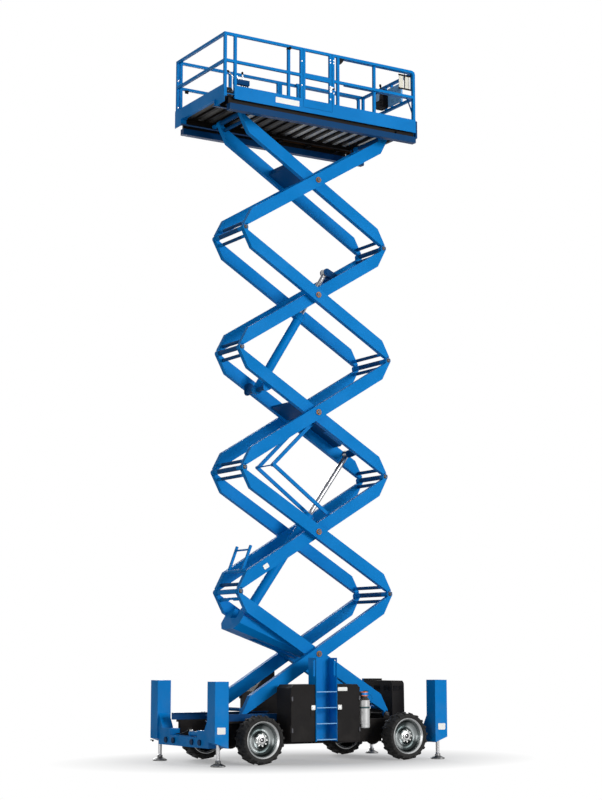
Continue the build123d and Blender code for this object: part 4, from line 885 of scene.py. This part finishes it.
# Outlet block with levers and bent pipes inside the right toe board
outlet = block("outlet_block", (-1.800, -0.800, 11.500), (-1.500, -0.730, 11.590))
sink(outlet, lambda c, n: n.y < -0.9, 0.010, 0.004)
outlet = rounded(outlet, 0.004)
fitted(outlet, track_blue, "platform")
GRIP_RINGS = ((0.010, 0.0), (0.016, 0.006), (0.020, 0.024), (0.017, 0.044), (0.006, 0.052))
levers, grips, pipes = [], [], []
for step, lean in enumerate((0.13, 0.09, 0.02)):
    x = -1.770 + step * 0.075
    levers.append(tube("lever", ((x, -0.765, 11.585), (x - lean * 0.5, -0.775, 11.630),
                                 (x - lean, -0.790, 11.690)), 0.012))
    grips.append(stand(turned("grip", GRIP_RINGS, 16),
                       facing((x - lean, -0.790, 11.680), (-lean, -0.02, 0.07))))
for step in range(4):
    x = -1.620 + step * 0.045
    pipes.append(tube("pipe", ((x, -0.735, 11.545), (x + 0.01, -0.690, 11.550), (x + 0.03, -0.660, 11.500),
                               (x + 0.04, -0.655, 11.330), (x + 0.04, -0.655, FLOOR_FITTING_Z)),
                      0.010))
fitted(joined("outlet_levers", levers), bolt_zinc, "platform")
fitted(joined("outlet_grips", grips), grip_black, "platform")
fitted(joined("outlet_pipes", pipes), hose_black, "platform")
feet = [cutout("foot", ((-0.020, 0), (0.020, 0), (0.020, 0.245), (-0.020, 0.245)), 0.008,
               placed((x, -0.765, FLOOR_FITTING_Z), TO_REAR), 0.0015) for x in (-1.780, -1.520)]
fitted(joined("outlet_feet", feet), track_blue, "platform")

# ---- Extension and control station -------------------------------------------------------
low_bumper = plate("bumper", (1.9155, -0.905, 11.080), (1.960, -0.800, 11.258), 0.016)
high_bumper = plate("bumper", (1.9155, -0.905, 11.240), (1.960, -0.8535, 11.410), 0.016)
fitted(joined("extension_bumper", [low_bumper, high_bumper]), track_blue, "extension")
cards = [card("cream_card", 0.095, 0.250, 0.010, upright(x, -0.815, 12.130)) for x in (1.665, 1.800)]
fitted(joined("cream_cards", cards), cream_plate, "extension")
bars = [plate("bar", (1.600, -0.832, z), (1.880, -0.820, z + 0.030), 0.004) for z in (12.245, 11.990)]
bars += [plate("bar", (x, -0.832, 11.990), (x + 0.014, -0.820, 12.300), 0.004) for x in (1.725, 1.866)]
fitted(joined("card_holder", bars), grip_black, "extension")
brace_line = ((1.763, -0.850, 11.826), (1.820, -0.862, 11.700), (1.889, -0.850, 11.540))
fitted(tube("corner_brace", brace_line, 0.013), track_blue, "extension")

low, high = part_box("control_box")
pane = card("control_pane", 0.120, 0.150, 0.003,
            placed((low.x - 0.0012, high.y - 0.085, high.z - 0.130), TO_REAR), 0.020)
fitted(pane, pale_blue, "extension")
buttons = [facing((low.x - 0.0005, low.y + 0.05 + column * 0.045, low.z + 0.05 + row * 0.05), (-1, 0, 0))
           for column in range(2) for row in range(3)]
button = turned("button", ((0.014, 0), (0.014, 0.005), (0.011, 0.009), (0.004, 0.0095)), 20)
fitted(joined("control_buttons", copies(button, buttons)), grip_black, "extension")
stalk = stand(turned("stalk", ((0.036, 0.0), (0.034, 0.010), (0.020, 0.022), (0.012, 0.030), (0.010, 0.070),
                               (0.019, 0.080), (0.023, 0.108), (0.017, 0.130), (0.006, 0.136)), 24),
              facing(((low.x + high.x) / 2, (low.y + high.y) / 2 + 0.03, high.z - 0.002), (-0.15, 0, 1)))
fitted(stalk, grip_black, "extension")
RAIL_TUBE = 0.048
PAD_BACK = 0.0215       # the panel's thickness and the little that a pad's middle stands behind it
panel_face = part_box("extension_rails")[1].x - RAIL_TUBE - PAD_BACK
pads = [card("pad", 0.100, 0.070, 0.008, placed((panel_face, y, z), TO_REAR), 0.012)
        for y, z in ((-0.175, 12.150), (-0.300, 12.100), (-0.430, 12.150),
                     (-0.235, 11.970), (-0.400, 11.960))]
fitted(joined("panel_pads", pads), rung_edge, "extension")

# ---- Base fittings -----------------------------------------------------------------------
for end_name, end in ENDS:
    for side_name, side in SIDES:
        x, z = (end * 2.168, 0.572 if end < 0 else 0.556)
        blank = card(f"{end_name}_{side_name}_column_plate", 0.150, 0.108, 0.003,
                     placed((x, side * 1.1513, z), TO_RIGHT if side < 0 else TO_LEFT))
        fitted(blank, white_plate, "chassis")

# Cylinder and fittings on the rear beam
rings = ((0.030, 0.0), (0.042, 0.004), (0.046, 0.012), (0.046, 0.060), (0.041, 0.066), (0.041, 0.380),
         (0.046, 0.386), (0.046, 0.430), (0.040, 0.442), (0.022, 0.444), (0.022, 0.500), (0.018, 0.504))
levelling = stand(turned("rear_levelling_cylinder", rings, 32), facing((-2.185, -0.130, 0.4985), (0, -1, 0)))
fitted(levelling, blue_outriggers, "chassis")
union_places = [facing((-2.200, y, 0.540), (-0.3, 0, 1)) for y in (-0.16, -0.22, -0.53)]
fitted(bolts("union", 0.030, 0.026, union_places), bolt_zinc, "chassis")
lines = [tube("line", ((-2.205, y, 0.556), (-2.215, y + 0.005, 0.580), (-2.180, y + 0.09, 0.575),
                       (-2.150, 0.20, 0.480), (-2.120, 0.60, 0.466), (-2.110, 0.86, 0.470)), 0.009)
         for y in (-0.16, -0.22)]
fitted(joined("rear_beam_lines", lines), hose_black, "chassis")
hook_shape = ((-0.045, 0.0), (0.045, 0.0), (0.060, -0.020), (0.030, -0.034),
              (0.020, -0.016), (-0.045, -0.016))
fitted(cutout("rear_column_hook", hook_shape, 0.022, placed((-2.280, 1.100, 0.352), TO_REAR), 0.003),
       grip_black, "chassis")

# Doors: hinge plates, latches and a blank plate
for body, x in (("right_rear_door", -0.835), ("right_front_door", 0.485)):
    leaves = [card("leaf", 0.030, 0.075, 0.005, upright(x, -1.1372, z)) for z in LEAF_HEIGHTS]
    bolt_places = [facing((x, -1.139, z + aside), (0, -1, 0)) for z in LEAF_HEIGHTS for aside in (-0.02, 0.02)]
    leaf_bolts = copies(hexagon("bolt", 0.013, 0.005), bolt_places)
    fitted(joined(f"{body}_hinge_leaves", leaves + leaf_bolts), dark_steel, body)
for body, x in (("right_rear_door", -0.428), ("right_front_door", 0.090)):
    fitted(card(f"{body}_latch_plate", 0.078, 0.078, 0.004, upright(x, -1.1365, 0.915)), white_plate, body)
    key = turned(f"{body}_latch", (
        (0.022, 0), (0.022, 0.006), (0.018, 0.009), (0.010, 0.009), (0.009, 0.006), (0.003, 0.006)), 24)
    fitted(stand(key, facing((x, -1.138, 0.915), (0, -1, 0))), bolt_zinc, body)
fitted(card("right_front_door_blank_plate", 0.190, 0.062, 0.003, upright(0.145, -1.1360, 1.213)), white_plate,
       "right_front_door")
for end_name, x in (("rear", -0.35), ("front", 0.20)):
    opening = louvre(f"engine_door_louvre_{end_name}", 0.260, 0.170, placed((x, 1.1355, 0.900), TO_LEFT))
    fitted(opening, grip_black, "engine_door")

# Hood: vents on its rear and right faces
low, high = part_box("end_hood")
vents = [louvre("vent", 0.150, 0.085, placed((low.x + 0.0005, y, 1.200), TO_REAR))
         for y in (0.340, 0.040, -0.260)]
vents += [louvre("vent", 0.080, 0.085, placed((x, low.y + 0.015, 1.200), TO_RIGHT)) for x in (1.695, 1.810)]
fitted(joined("hood_vents", vents), grip_black, "chassis")

# Ladder: painted highlights along the rungs' front edges
edges = [card("edge", 0.390, 0.015, 0.003, upright(-0.175, -1.1507, z), 0.003)
         for z in (0.390, 0.650, 0.910, 1.170)]
fitted(joined("ladder_rung_edges", edges), rung_edge, "chassis")

# Canister: strap tail, hook and lever
fitted(card("strap_tail", 0.030, 0.046, 0.003, upright(0.722, -1.085, 0.900), 0.004), white_plate, "chassis")
hook = tube("canister_hook", ((0.665, -1.060, 1.120), (0.720, -1.075, 1.135), (0.780, -1.080, 1.090),
                              (0.785, -1.080, 1.010), (0.745, -1.075, 0.975)), 0.009)
fitted(hook, blue_low, "chassis")
grip = tube("canister_lever", ((0.600, -1.060, 1.165), (0.640, -1.075, 1.178), (0.690, -1.100, 1.172)), 0.008)
fitted(grip, grip_black, "chassis")

# ---- Lift fittings -----------------------------------------------------------------------
fitted(card("arm_blank_plate", 0.110, 0.080, 0.003, upright(-0.940, -0.4475, 3.262, ARM_SLOPE)), white_plate,
       "inner_2")

bpy.context.scene.view_settings.view_transform = "Standard"
